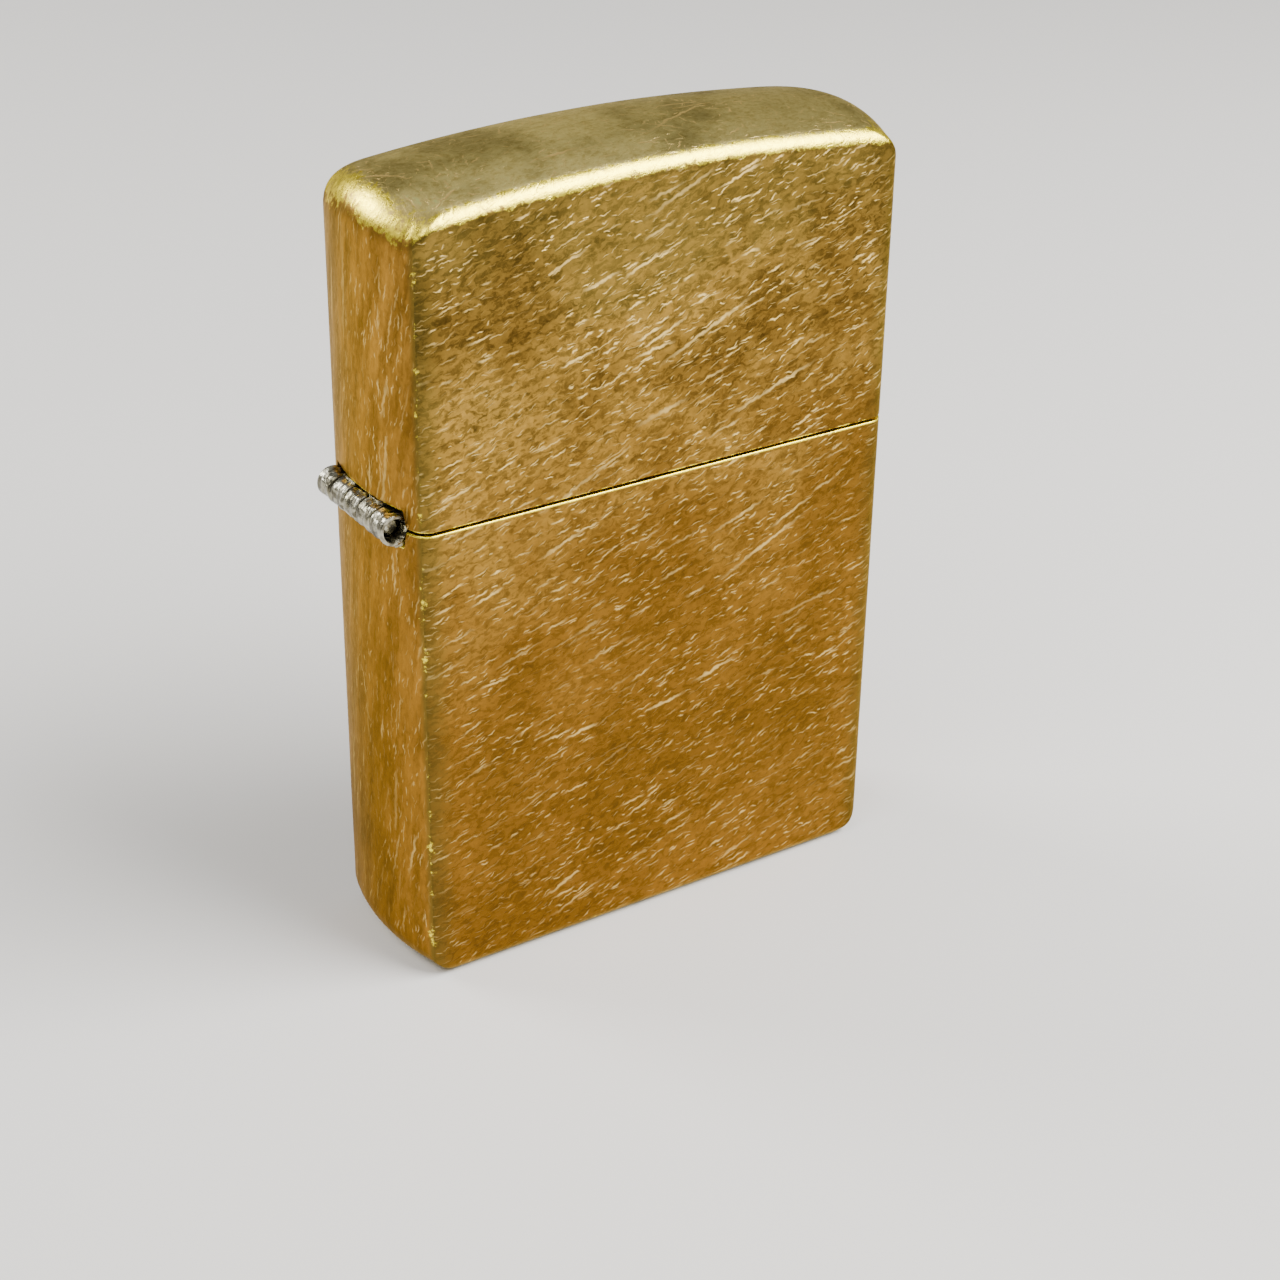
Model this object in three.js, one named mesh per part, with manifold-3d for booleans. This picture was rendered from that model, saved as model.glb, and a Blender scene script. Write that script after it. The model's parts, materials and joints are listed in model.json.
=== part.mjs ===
// A flip-top petrol lighter, standing closed on its base: brass case and lid on a five-knuckle hinge, and the
// steel insert that lifts out of the case, with its wick, wadding, flint and striking wheel.
// Millimetres, +Z up, +X across the width away from the hinge, front face towards -Y.
// The origin is the middle of the base's resting face.
import * as THREE from "three";
import { mergeVertices } from "three/addons/utils/BufferGeometryUtils.js";
import Module from "manifold-3d";

const wasm = await Module();
wasm.setup();

// ---- Driving dimensions ----
const running = 0.05; // radial play of a pin in its hole
const seam = 0.15; // gap between pieces that sit against each other
const clear = 0.3; // gap between pieces that pass each other

const caseWidth = 38.6;
const caseDepth = 12.4;
const caseHeight = 56.6;
const wall = 0.7;
const splitHeight = 34.15;
const splitGap = 0.24;
const sideBulge = 1.2; // how far the middle of a narrow side stands out past its edges
const topDome = 1.3; // rise of the lid's top across the width
const topCrown = 0.9; // rise of the lid's top across the depth
const cornerRadius = 2.5;
const edgeRadius = 1.0;
const grooveInset = [3.2, 2.0]; // from the case's sides to the groove in the base, across X and Y
const grooveWidth = 0.6;
const grooveDepth = 0.25;

const hingeX = -19.2;
const barrelRadius = 1.1;
const pinRadius = 0.62;
const pinRecess = 0.8; // how far the pin stops short of the barrel's ends
const knuckleCount = 5;
const knucklePitch = 1.8;
const knuckleGap = 0.12;
const leafThickness = 0.4;
const leafStart = 1.0; // near edge of each leaf, measured from the pin
const leafReach = 10.5; // far edge of each leaf, measured from the pin
const webReach = 1.2; // how far a knuckle's web runs along its leaf, measured from the pin
const lipReach = 1.3; // how far the lid's cam lip stands in from its leaf
const lidTravel = 135; // degrees, closed to open

const insertMidX = 0.2;
const insertWidth = 35.9;
const insertDepth = 10.4;
const insertBottom = 1.3;
const insertTop = 36.4;
const tankWall = 0.5;
const deckThickness = 0.6;

const chimneyLeft = -8.0;
const chimneyWidth = 13.6;
const chimneyDepth = 9.0;
const chimneyTop = 49.6;
const chimneyWall = 0.5;
const chimneyCorner = 2.4;
const ventRadius = 1.05;
const ventRows = [
  { count: 3, drop: 2.9 },
  { count: 2, drop: 6.3 },
  { count: 3, drop: 9.7 },
];
const ventPitch = 3.7;

const wheelX = 9.9;
const wheelZ = 42.6;
const wheelRadius = 4.1;
const wheelThickness = 4.1;
const wheelTeeth = 40;
const toothDepth = 0.35;
const axleRadius = 0.9;
const lugThickness = 0.6;
const lugRadius = 2.0;

const flintRadius = 1.2;
const flintLength = 5.1;
const flintTubeBore = 1.4;
const flintTubeRadius = 1.9;
const springWire = 0.24;
const springTurns = 12;
const springBottom = 6.7;
const springTop = 31.2;
const screwHeadRadius = 2.4;

const camX = -12.6;
const camZ = 38.5;
const camThickness = 2.0;
const camRivetRadius = 0.6;
const earThickness = 0.5;
const earRadius = 1.4;
const springRivetX = -9.7;
const camSpringRange = [-14.4, -8.4];

const wickX = chimneyLeft + chimneyWidth / 2;
const wickRadius = 1.45;
const waddingCount = 5;
const waddingBottom = 5.0;
const waddingTop = 34.7;
const feltRange = [1.9, 4.3];

// ---- Finishes ----
const brass = { color: 0xb08d3c, roughness: 0.42, metalness: 1.0 };
const steel = { color: 0xb9b7ae, roughness: 0.38, metalness: 1.0 };
const darkSteel = { color: 0x77757a, roughness: 0.5, metalness: 1.0 };
const ferro = { color: 0x4a4744, roughness: 0.7, metalness: 0.6 };
const cotton = { color: 0xe9e4d8, roughness: 0.95, metalness: 0.0 };
const wickYarn = { color: 0xd8cfba, roughness: 0.9, metalness: 0.0 };
const felt = { color: 0xd9d4c6, roughness: 0.95, metalness: 0.0 };

// ---- Solids: joining and cutting ----
function toSolid(geometry) {
  const bare = geometry.clone();
  bare.deleteAttribute("normal");
  bare.deleteAttribute("uv");
  const merged = mergeVertices(bare, 1e-4);
  return new wasm.Manifold(
    new wasm.Mesh({
      numProp: 3,
      vertProperties: merged.attributes.position.array,
      triVerts: new Uint32Array(merged.index.array),
    }),
  );
}

function toGeometry(solid) {
  const mesh = solid.getMesh();
  const geometry = new THREE.BufferGeometry();
  geometry.setAttribute("position", new THREE.BufferAttribute(mesh.vertProperties, 3));
  geometry.setIndex(new THREE.BufferAttribute(mesh.triVerts, 1));
  geometry.computeVertexNormals();
  return geometry;
}

const join = (first, ...others) =>
  toGeometry(others.reduce((solid, other) => solid.add(toSolid(other)), toSolid(first)));

const cut = (blank, ...tools) =>
  toGeometry(tools.reduce((solid, tool) => solid.subtract(toSolid(tool)), toSolid(blank)));

const overlap = (a, b) => toGeometry(toSolid(a).intersect(toSolid(b)));

// ---- Basic forms ----
function boxBetween([x0, y0, z0], [x1, y1, z1]) {
  const box = new THREE.BoxGeometry(x1 - x0, y1 - y0, z1 - z0);
  return box.translate((x0 + x1) / 2, (y0 + y1) / 2, (z0 + z1) / 2);
}

// A round bar along Z, from z0 to z1.
function postAt(x, y, radius, z0, z1, sides = 16) {
  const post = new THREE.CylinderGeometry(radius, radius, z1 - z0, sides);
  return post.rotateX(Math.PI / 2).translate(x, y, (z0 + z1) / 2);
}

// A round bar along Y, from y0 to y1.
function crossBarAt(x, z, radius, y0, y1, sides = 16) {
  const bar = new THREE.CylinderGeometry(radius, radius, y1 - y0, sides);
  return bar.translate(x, (y0 + y1) / 2, z);
}

// An outline in the XY plane, raised from z0 to z1.
function raise(shape, z0, z1, curveSegments = 3) {
  const options = { depth: z1 - z0, bevelEnabled: false, curveSegments };
  return new THREE.ExtrudeGeometry(shape, options).translate(0, 0, z0);
}

// An outline drawn in X and Z, given thickness along Y about y = middleY.
function plate(shape, thickness, middleY = 0, curveSegments = 3) {
  const options = { depth: thickness, bevelEnabled: false, curveSegments };
  const flat = new THREE.ExtrudeGeometry(shape, options);
  return flat.translate(0, 0, -thickness / 2).rotateX(Math.PI / 2).translate(0, middleY, 0);
}

// Profile points are [radius, height]. The result stands along Z.
function turned(profile, sides = 14) {
  const points = profile.map(([r, h]) => new THREE.Vector2(r, h));
  return new THREE.LatheGeometry(points, sides).rotateX(Math.PI / 2);
}

function roundedRectangle(x0, y0, x1, y1, radius) {
  const shape = new THREE.Shape();
  shape.absarc(x1 - radius, y0 + radius, radius, -Math.PI / 2, 0);
  shape.absarc(x1 - radius, y1 - radius, radius, 0, Math.PI / 2);
  shape.absarc(x0 + radius, y1 - radius, radius, Math.PI / 2, Math.PI);
  shape.absarc(x0 + radius, y0 + radius, radius, Math.PI, Math.PI * 1.5);
  shape.closePath();
  return shape;
}

// ---- The case's form ----
const halfWidth = caseWidth / 2;
const halfDepth = caseDepth / 2;
const domeRadius = (halfWidth ** 2 + topDome ** 2) / (2 * topDome);
const bulgeRadius = (halfDepth ** 2 + sideBulge ** 2) / (2 * sideBulge);

// Front outline of the whole case, moved in by inset all round.
function caseOutline(inset) {
  const side = halfWidth - inset;
  const radius = cornerRadius - inset;
  const arch = domeRadius - inset;
  const archZ = caseHeight - domeRadius;
  const cornerX = side - radius;
  const cornerZ = archZ + Math.sqrt((arch - radius) ** 2 - cornerX ** 2);
  const turn = Math.atan2(cornerZ - archZ, cornerX);
  const shape = new THREE.Shape();
  shape.absarc(cornerX, inset + radius, radius, -Math.PI / 2, 0);
  shape.absarc(cornerX, cornerZ, radius, 0, turn);
  shape.absarc(0, archZ, arch, turn, Math.PI - turn);
  shape.absarc(-cornerX, cornerZ, radius, Math.PI - turn, Math.PI);
  shape.absarc(-cornerX, inset + radius, radius, Math.PI, Math.PI * 1.5);
  shape.closePath();
  return shape;
}

// The pillow-like block that the case and lid are drawn to, moved in by inset.
function caseBlock(inset) {
  const round = edgeRadius - inset / 2;
  const depth = caseDepth - 2 * inset - 2 * round;
  const block = new THREE.ExtrudeGeometry(caseOutline(inset), {
    depth,
    steps: 4,
    bevelThickness: round,
    bevelSize: round,
    bevelOffset: -round,
    bevelSegments: 3,
    curveSegments: 3,
  });
  block.translate(0, 0, -depth / 2).rotateX(Math.PI / 2);
  const position = block.attributes.position;
  for (let i = 0; i < position.count; i++) {
    const edge = (position.getY(i) / halfDepth) ** 2;
    position.setX(i, position.getX(i) * (1 - (sideBulge * edge) / halfWidth));
    position.setZ(i, position.getZ(i) * (1 - (topCrown * edge) / caseHeight));
  }
  return block;
}

// Plan outline with convex narrow sides, concentric with the case's own.
function planOutline(midX, width, depth, radius) {
  const side = width / 2;
  const back = depth / 2;
  const curve = bulgeRadius - (halfWidth - side);
  const curveX = side - curve;
  const cornerY = back - radius;
  const cornerX = curveX + Math.sqrt((curve - radius) ** 2 - cornerY ** 2);
  const turn = Math.atan2(cornerY, cornerX - curveX);
  const shape = new THREE.Shape();
  shape.absarc(midX + curveX, 0, curve, -turn, turn);
  shape.absarc(midX + cornerX, cornerY, radius, turn, Math.PI / 2);
  shape.absarc(midX - cornerX, cornerY, radius, Math.PI / 2, Math.PI - turn);
  shape.absarc(midX - curveX, 0, curve, Math.PI - turn, Math.PI + turn);
  shape.absarc(midX - cornerX, -cornerY, radius, Math.PI + turn, Math.PI * 1.5);
  shape.absarc(midX + cornerX, -cornerY, radius, Math.PI * 1.5, Math.PI * 2 - turn);
  shape.closePath();
  return shape;
}

function ringOutline(outer, inner) {
  const hole = new THREE.Path(inner.getPoints(3));
  outer.holes.push(hole);
  return outer;
}

// ---- Case and lid ----
const barrelHalfLength = (knuckleCount * knucklePitch) / 2;

// The window in both walls that the hinge barrel turns in.
function barrelWindow() {
  const reach = barrelRadius + clear;
  const half = barrelHalfLength + clear;
  return boxBetween(
    [hingeX - 2 * reach, -half, splitHeight - reach],
    [hingeX + 2 * reach, half, splitHeight + reach],
  );
}

function shellBetween(z0, z1) {
  const slab = boxBetween([-caseWidth, -caseDepth, z0], [caseWidth, caseDepth, z1]);
  const shell = cut(caseBlock(0), caseBlock(wall));
  return cut(overlap(shell, slab), barrelWindow());
}

function caseBottom() {
  const width = caseWidth - 2 * grooveInset[0];
  const depth = caseDepth - 2 * grooveInset[1];
  const outer = planOutline(0, width, depth, 1.2);
  const inner = planOutline(0, width - 2 * grooveWidth, depth - 2 * grooveWidth, 0.6);
  const groove = raise(ringOutline(outer, inner), -grooveDepth, grooveDepth);
  return cut(shellBetween(-1, splitHeight - splitGap / 2), groove);
}

const lidShell = () => shellBetween(splitHeight + splitGap / 2, caseHeight + 1);

// ---- Hinge ----
const leafOuter = bulgeRadius - wall - seam / 2;
const leafMidX = -halfWidth + bulgeRadius;
const leafHalf = barrelHalfLength - clear;

// One knuckle of the barrel, by its place along the pin, with the web that ties it to its leaf.
function knuckle(index, towardsLeaf) {
  const y0 = -barrelHalfLength + index * knucklePitch + knuckleGap / 2;
  const y1 = y0 + knucklePitch - knuckleGap;
  const web = [0.25 * towardsLeaf, webReach * towardsLeaf].map((z) => splitHeight + z);
  const farY = Math.min(Math.max(Math.abs(y0), Math.abs(y1)), leafHalf);
  const webEnd = leafMidX - Math.sqrt(leafOuter ** 2 - farY ** 2) + leafThickness / 2;
  return join(
    crossBarAt(hingeX, splitHeight, barrelRadius, y0, y1, 20),
    boxBetween([hingeX, y0, Math.min(...web)], [webEnd, y1, Math.max(...web)]),
  );
}

// towardsLeaf is -1 for the leaf that hangs down in the case, +1 for the one that stands in the lid.
function hingeLeaf(indices, towardsLeaf) {
  const turn = Math.asin(leafHalf / leafOuter);
  const shape = new THREE.Shape();
  shape.absarc(leafMidX, 0, leafOuter, Math.PI - turn, Math.PI + turn);
  shape.absarc(leafMidX, 0, leafOuter - leafThickness, Math.PI + turn, Math.PI - turn, true);
  shape.closePath();
  const ends = [leafStart * towardsLeaf, leafReach * towardsLeaf].map((z) => splitHeight + z);
  const leaf = raise(shape, Math.min(...ends), Math.max(...ends));
  const knuckles = indices.map((index) => knuckle(index, towardsLeaf));
  return { leaf, knuckles };
}

const pinHole = () =>
  crossBarAt(hingeX, splitHeight, pinRadius + 1.2 * running, -barrelHalfLength - 1, barrelHalfLength + 1);

function hingeLeafBottom() {
  const { leaf, knuckles } = hingeLeaf([0, 2, 4], -1);
  return cut(join(leaf, ...knuckles), pinHole());
}

// The lid's leaf carries the lip that the cam's nose bears on.
function hingeLeafLid() {
  const { leaf, knuckles } = hingeLeaf([1, 3], 1);
  const leafFace = leafMidX - leafOuter + leafThickness;
  const lip = boxBetween(
    [leafFace - leafThickness / 2, -1.4, insertTop + clear],
    [leafFace + lipReach - 0.2, 1.4, insertTop + clear + leafThickness],
  );
  return cut(join(leaf, ...knuckles, lip), pinHole());
}

const hingePin = () =>
  crossBarAt(hingeX, splitHeight, pinRadius, -barrelHalfLength + pinRecess, barrelHalfLength - pinRecess);

// ---- Insert: tank and deck ----
const deckTop = insertTop - 0.1;
const deckBottom = deckTop - deckThickness;

function insertTank() {
  const outer = planOutline(insertMidX, insertWidth, insertDepth, 1.1);
  const inner = planOutline(insertMidX, insertWidth - 2 * tankWall, insertDepth - 2 * tankWall, 0.6);
  return raise(ringOutline(outer, inner), insertBottom, insertTop);
}

function earPlate(side) {
  const shape = new THREE.Shape();
  shape.moveTo(camX - earRadius, deckBottom + 0.1);
  shape.lineTo(camX + earRadius, deckBottom + 0.1);
  shape.absarc(camX, camZ, earRadius, 0, Math.PI);
  shape.closePath();
  const middleY = side * (camThickness / 2 + clear + earThickness / 2);
  return plate(shape, earThickness, middleY);
}

function insertDeck() {
  const inset = 2 * (tankWall + seam);
  const outline = planOutline(insertMidX, insertWidth - inset, insertDepth - inset, 0.6);
  const ears = join(raise(outline, deckBottom, deckTop), earPlate(-1), earPlate(1));
  const through = [deckBottom - 1, deckTop + 1];
  const slotHalf = camThickness / 2 + clear;
  return cut(
    ears,
    boxBetween([camX - 3.2, -slotHalf, through[0]], [camX + 1.6, slotHalf, through[1]]),
    crossBarAt(camX, camZ, camRivetRadius + 2 * running, -insertDepth / 2, insertDepth / 2),
    postAt(springRivetX, 0, camRivetRadius, ...through),
    postAt(wickX, 0, wickRadius + 0.95, ...through, 20),
    postAt(wheelX, 0, flintTubeRadius + seam, ...through, 20),
  );
}

// ---- Insert: chimney and wheel ----
function chimneyLug(side) {
  const foot = deckTop + seam;
  const shape = new THREE.Shape();
  shape.moveTo(chimneyLeft + chimneyWidth - 0.4, foot);
  shape.lineTo(wheelX + lugRadius - 0.5, foot);
  shape.lineTo(wheelX + lugRadius, wheelZ);
  shape.absarc(wheelX, wheelZ, lugRadius, 0, Math.PI * 0.6);
  shape.lineTo(chimneyLeft + chimneyWidth - 0.4, wheelZ + 4.2);
  shape.closePath();
  const middleY = side * (wheelThickness / 2 + clear + lugThickness / 2);
  return plate(shape, lugThickness, middleY);
}

function ventDrills() {
  const drills = [];
  for (const { count, drop } of ventRows)
    for (let i = 0; i < count; i++) {
      const x = wickX + (i - (count - 1) / 2) * ventPitch;
      drills.push(crossBarAt(x, chimneyTop - drop, ventRadius, -chimneyDepth, chimneyDepth, 12));
    }
  return drills;
}

function chimney() {
  const right = chimneyLeft + chimneyWidth;
  const half = chimneyDepth / 2;
  const outer = roundedRectangle(chimneyLeft, -half, right, half, chimneyCorner);
  const inner = roundedRectangle(
    chimneyLeft + chimneyWall,
    -half + chimneyWall,
    right - chimneyWall,
    half - chimneyWall,
    chimneyCorner - chimneyWall,
  );
  const tube = raise(ringOutline(outer, inner), deckTop + seam, chimneyTop);
  const sparkSlot = boxBetween([right - 1, -1.9, 39], [right + 0.5, 1.9, 46.8]);
  const axleHole = crossBarAt(wheelX, wheelZ, axleRadius + running, -half, half);
  return cut(join(tube, chimneyLug(-1), chimneyLug(1)), sparkSlot, axleHole, ...ventDrills());
}

// Saw teeth, each with its steep side towards the flint.
function flintWheel() {
  const shape = new THREE.Shape();
  for (let i = 0; i < wheelTeeth; i++) {
    const root = (i / wheelTeeth) * Math.PI * 2;
    const tip = root + (0.7 / wheelTeeth) * Math.PI * 2;
    const inner = wheelRadius - toothDepth;
    shape[i ? "lineTo" : "moveTo"](inner * Math.cos(root), inner * Math.sin(root));
    shape.lineTo(wheelRadius * Math.cos(tip), wheelRadius * Math.sin(tip));
  }
  shape.closePath();
  const wheel = plate(shape, wheelThickness).translate(wheelX, 0, wheelZ);
  return cut(wheel, crossBarAt(wheelX, wheelZ, axleRadius + 2 * running, -wheelThickness, wheelThickness, 20));
}

// A rivet with a low round head at each end, its shank along Z and its middle at the origin.
function rivet(shankRadius, headRadius, grip, headHeight) {
  const half = grip / 2;
  return turned([
    [0, -half - headHeight],
    [0.6 * headRadius, -half - headHeight],
    [headRadius, -half - headHeight / 3],
    [headRadius, -half],
    [shankRadius, -half],
    [shankRadius, half],
    [headRadius, half],
    [headRadius, half + headHeight / 3],
    [0.6 * headRadius, half + headHeight],
    [0, half + headHeight],
  ]);
}

function wheelAxle() {
  const grip = wheelThickness + 2 * (clear + lugThickness + seam);
  return rivet(axleRadius - running, 1.5, grip, 0.5).rotateX(Math.PI / 2).translate(wheelX, 0, wheelZ);
}

// ---- Insert: cam, its rivet and its spring ----
// The nose points at the hinge, and the heel reaches down through the deck to the spring.
function camLever() {
  const shape = new THREE.Shape();
  shape.absarc(-4.3, -0.35, 0.45, Math.PI * 0.55, Math.PI * 1.45);
  shape.lineTo(-1.1, -1.2);
  shape.absarc(0.2, -2.15, 0.65, Math.PI * 1.05, Math.PI * 2);
  shape.absarc(0, 0, 1.35, -Math.PI * 0.15, Math.PI * 0.6);
  shape.closePath();
  const lever = plate(shape, camThickness).translate(camX, 0, camZ);
  return cut(lever, crossBarAt(camX, camZ, camRivetRadius + 2 * running, -camThickness, camThickness));
}

function camRivet() {
  const grip = camThickness + 2 * (clear + earThickness + seam);
  return rivet(camRivetRadius, 1.0, grip, 0.4).rotateX(Math.PI / 2).translate(camX, 0, camZ);
}

const camSpringTop = camZ - 2.8 - clear;

function camSpring() {
  const half = 1.2;
  const strip = roundedRectangle(camSpringRange[0], -half, camSpringRange[1], half, 0.6);
  const leaf = raise(strip, camSpringTop - 0.3, camSpringTop);
  return cut(leaf, postAt(springRivetX, 0, camRivetRadius, camSpringTop - 1, camSpringTop + 1));
}

function camSpringRivet() {
  const bottom = camSpringTop - 0.3 - seam;
  const top = deckTop + seam;
  return rivet(0.45, 0.9, top - bottom, 0.3).translate(springRivetX, 0, (bottom + top) / 2);
}

// ---- Insert: flint and what feeds it ----
const flintTubeBottom = 3.6;
const flintTop = wheelZ - wheelRadius - 0.2;

function flintTube() {
  const top = deckTop + 1.7;
  return turned([
    [flintTubeBore, flintTubeBottom],
    [flintTubeRadius, flintTubeBottom],
    [flintTubeRadius, top],
    [flintTubeBore, top],
    [flintTubeBore, flintTubeBottom],
  ]).translate(wheelX, 0, 0);
}

const flint = () => postAt(wheelX, 0, flintRadius, flintTop - flintLength, flintTop);

// The brass cap on the spring's end, with a stem that centres the wire.
function springTip() {
  const top = flintTop - flintLength - seam;
  return turned([
    [0, top - 2.4],
    [0.6, top - 2.4],
    [0.6, top - 1.2],
    [flintRadius, top - 1.2],
    [flintRadius, top],
    [0, top],
  ]).translate(wheelX, 0, 0);
}

class Helix extends THREE.Curve {
  constructor(radius, bottom, top, turns) {
    super();
    Object.assign(this, { radius, bottom, top, turns });
  }
  getPoint(t, target = new THREE.Vector3()) {
    const angle = t * this.turns * Math.PI * 2;
    const height = this.bottom + t * (this.top - this.bottom);
    return target.set(this.radius * Math.cos(angle), this.radius * Math.sin(angle), height);
  }
}

function circleShape(radius, sides) {
  const points = Array.from({ length: sides }, (_, i) => {
    const angle = (i / sides) * Math.PI * 2;
    return new THREE.Vector2(radius * Math.cos(angle), radius * Math.sin(angle));
  });
  return new THREE.Shape(points);
}

function flintSpring() {
  const coil = new Helix(flintRadius - springWire - 0.05, springBottom, springTop, springTurns);
  const options = { extrudePath: coil, steps: springTurns * 12 };
  return new THREE.ExtrudeGeometry(circleShape(springWire, 6), options).translate(wheelX, 0, 0);
}

function flintScrew() {
  const headBottom = feltRange[0] + 0.3;
  const headTop = flintTubeBottom - clear;
  const body = turned([
    [0, headBottom],
    [screwHeadRadius, headBottom],
    [screwHeadRadius, headTop],
    [flintTubeBore - 0.2, headTop],
    [flintTubeBore - 0.2, springBottom - springWire - 0.15],
    [0, springBottom - springWire - 0.15],
  ]).translate(wheelX, 0, 0);
  const slot = boxBetween(
    [wheelX - 3, -0.35, headBottom - 1],
    [wheelX + 3, 0.35, headBottom + 0.55],
  );
  return cut(body, slot);
}

// ---- Insert: wick, wadding and felt ----
// The wick stands straight in the chimney and winds down between the pieces of wadding.
function wickPath() {
  const route = [
    [wickX, 44.9],
    [wickX, 40],
    [wickX, 36],
    [wickX, 33],
    [wickX - 4.5, 29],
    [wickX - 4.5, 24],
    [wickX + 2, 18.5],
    [wickX, 12.5],
    [wickX - 5, 8],
  ];
  return new THREE.CatmullRomCurve3(route.map(([x, z]) => new THREE.Vector3(x, 0, z)));
}

function cordAlongWick(radius, steps) {
  const options = { extrudePath: wickPath(), steps };
  return new THREE.ExtrudeGeometry(circleShape(radius, 10), options);
}

function wickEyelet() {
  const bore = wickRadius + 0.2;
  const neck = wickRadius + 0.75;
  return turned([
    [bore, deckBottom - 0.4],
    [neck, deckBottom - 0.4],
    [neck, deckTop + seam],
    [neck + 0.5, deckTop + seam],
    [neck + 0.5, deckTop + 0.5],
    [bore, deckTop + 0.5],
    [bore, deckBottom - 0.4],
  ]).translate(wickX, 0, 0);
}

function waddingPiece(index) {
  const pitch = (waddingTop - waddingBottom) / waddingCount;
  const bottom = waddingBottom + index * pitch;
  const tankInside = insertMidX - insertWidth / 2 + tankWall;
  const depth = insertDepth - 2 * (tankWall + clear);
  const round = 1.2;
  const outline = roundedRectangle(
    tankInside + 0.9,
    bottom,
    wheelX - flintTubeRadius - clear,
    bottom + pitch - clear,
    2.2,
  );
  const pillow = new THREE.ExtrudeGeometry(outline, {
    depth: depth - 2 * round,
    bevelThickness: round,
    bevelSize: round,
    bevelOffset: -round,
    bevelSegments: 2,
    curveSegments: 2,
  });
  pillow.translate(0, 0, -(depth - 2 * round) / 2).rotateX(Math.PI / 2);
  return cut(pillow, cordAlongWick(wickRadius + clear, 36));
}

function feltPad() {
  const inset = 2 * (tankWall + clear);
  const outline = planOutline(insertMidX, insertWidth - inset, insertDepth - inset, 0.6);
  const blank = raise(outline, ...feltRange);
  return cut(blank, postAt(wheelX, 0, screwHeadRadius + 0.5, feltRange[0] - 1, feltRange[1] + 1));
}

// ---- Assembly ----
function piece(name, geometry, finish) {
  const mesh = new THREE.Mesh(geometry, new THREE.MeshStandardMaterial(finish));
  mesh.name = name;
  return mesh;
}

const lighter = new THREE.Group();

const casing = new THREE.Group();
casing.add(piece("case_bottom", caseBottom(), brass));
casing.add(piece("hinge_leaf_bottom", hingeLeafBottom(), steel));
casing.add(piece("hinge_pin", hingePin(), darkSteel));

const lid = new THREE.Group();
lid.add(piece("lid_shell", lidShell(), brass));
lid.add(piece("hinge_leaf_lid", hingeLeafLid(), steel));

const insert = new THREE.Group();
insert.add(piece("insert_tank", insertTank(), steel));
insert.add(piece("insert_deck", insertDeck(), steel));
insert.add(piece("chimney", chimney(), steel));
insert.add(piece("flint_wheel", flintWheel(), darkSteel));
insert.add(piece("wheel_axle", wheelAxle(), steel));
insert.add(piece("cam_lever", camLever(), steel));
insert.add(piece("cam_rivet", camRivet(), steel));
insert.add(piece("cam_spring", camSpring(), darkSteel));
insert.add(piece("cam_spring_rivet", camSpringRivet(), steel));
insert.add(piece("flint_tube", flintTube(), brass));
insert.add(piece("flint", flint(), ferro));
insert.add(piece("spring_tip", springTip(), brass));
insert.add(piece("flint_spring", flintSpring(), steel));
insert.add(piece("flint_screw", flintScrew(), brass));
insert.add(piece("wick", cordAlongWick(wickRadius, 36), wickYarn));
insert.add(piece("wick_eyelet", wickEyelet(), brass));
insert.add(piece("felt_pad", feltPad(), felt));
for (let i = 0; i < waddingCount; i++)
  insert.add(piece(`wadding_${i + 1}`, waddingPiece(i), cotton));

lighter.add(casing, lid, insert);

export default lighter;
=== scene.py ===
"""A flip-top petrol lighter in scuffed raw brass, standing closed, with its steel insert inside."""
import json
import math

import bmesh
import bpy
import numpy as np
from mathutils import Matrix, Quaternion, Vector, noise


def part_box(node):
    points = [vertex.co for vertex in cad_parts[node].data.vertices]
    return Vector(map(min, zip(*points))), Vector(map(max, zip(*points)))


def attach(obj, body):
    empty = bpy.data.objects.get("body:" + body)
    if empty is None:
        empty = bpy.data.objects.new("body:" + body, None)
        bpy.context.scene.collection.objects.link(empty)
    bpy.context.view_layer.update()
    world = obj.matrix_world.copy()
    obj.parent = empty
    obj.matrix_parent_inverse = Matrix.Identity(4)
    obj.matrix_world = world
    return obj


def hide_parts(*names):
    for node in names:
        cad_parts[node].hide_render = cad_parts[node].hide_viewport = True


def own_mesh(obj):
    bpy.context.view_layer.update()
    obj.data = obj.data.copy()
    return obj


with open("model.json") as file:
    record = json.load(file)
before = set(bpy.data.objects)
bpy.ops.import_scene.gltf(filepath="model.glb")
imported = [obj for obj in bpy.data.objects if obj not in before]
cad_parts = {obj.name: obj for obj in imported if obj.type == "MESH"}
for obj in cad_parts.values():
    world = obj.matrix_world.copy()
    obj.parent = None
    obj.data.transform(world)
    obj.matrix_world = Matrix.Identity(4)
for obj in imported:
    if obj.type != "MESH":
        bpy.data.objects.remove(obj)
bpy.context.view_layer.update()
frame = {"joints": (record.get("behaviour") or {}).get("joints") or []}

MM = 0.001
TURN = 2 * math.pi

# ---------------------------------------------------------------- camera
CAMERA_AZIMUTH = math.radians(-33.3)
CAMERA_ELEVATION = math.radians(28.81)
CAMERA_ROLL = math.radians(0.92)
CAMERA_DISTANCE = 179.9 * MM
CAMERA_TARGET = Vector((2.29, 0, 18.09)) * MM
CAMERA_LENS = 70.8


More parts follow.
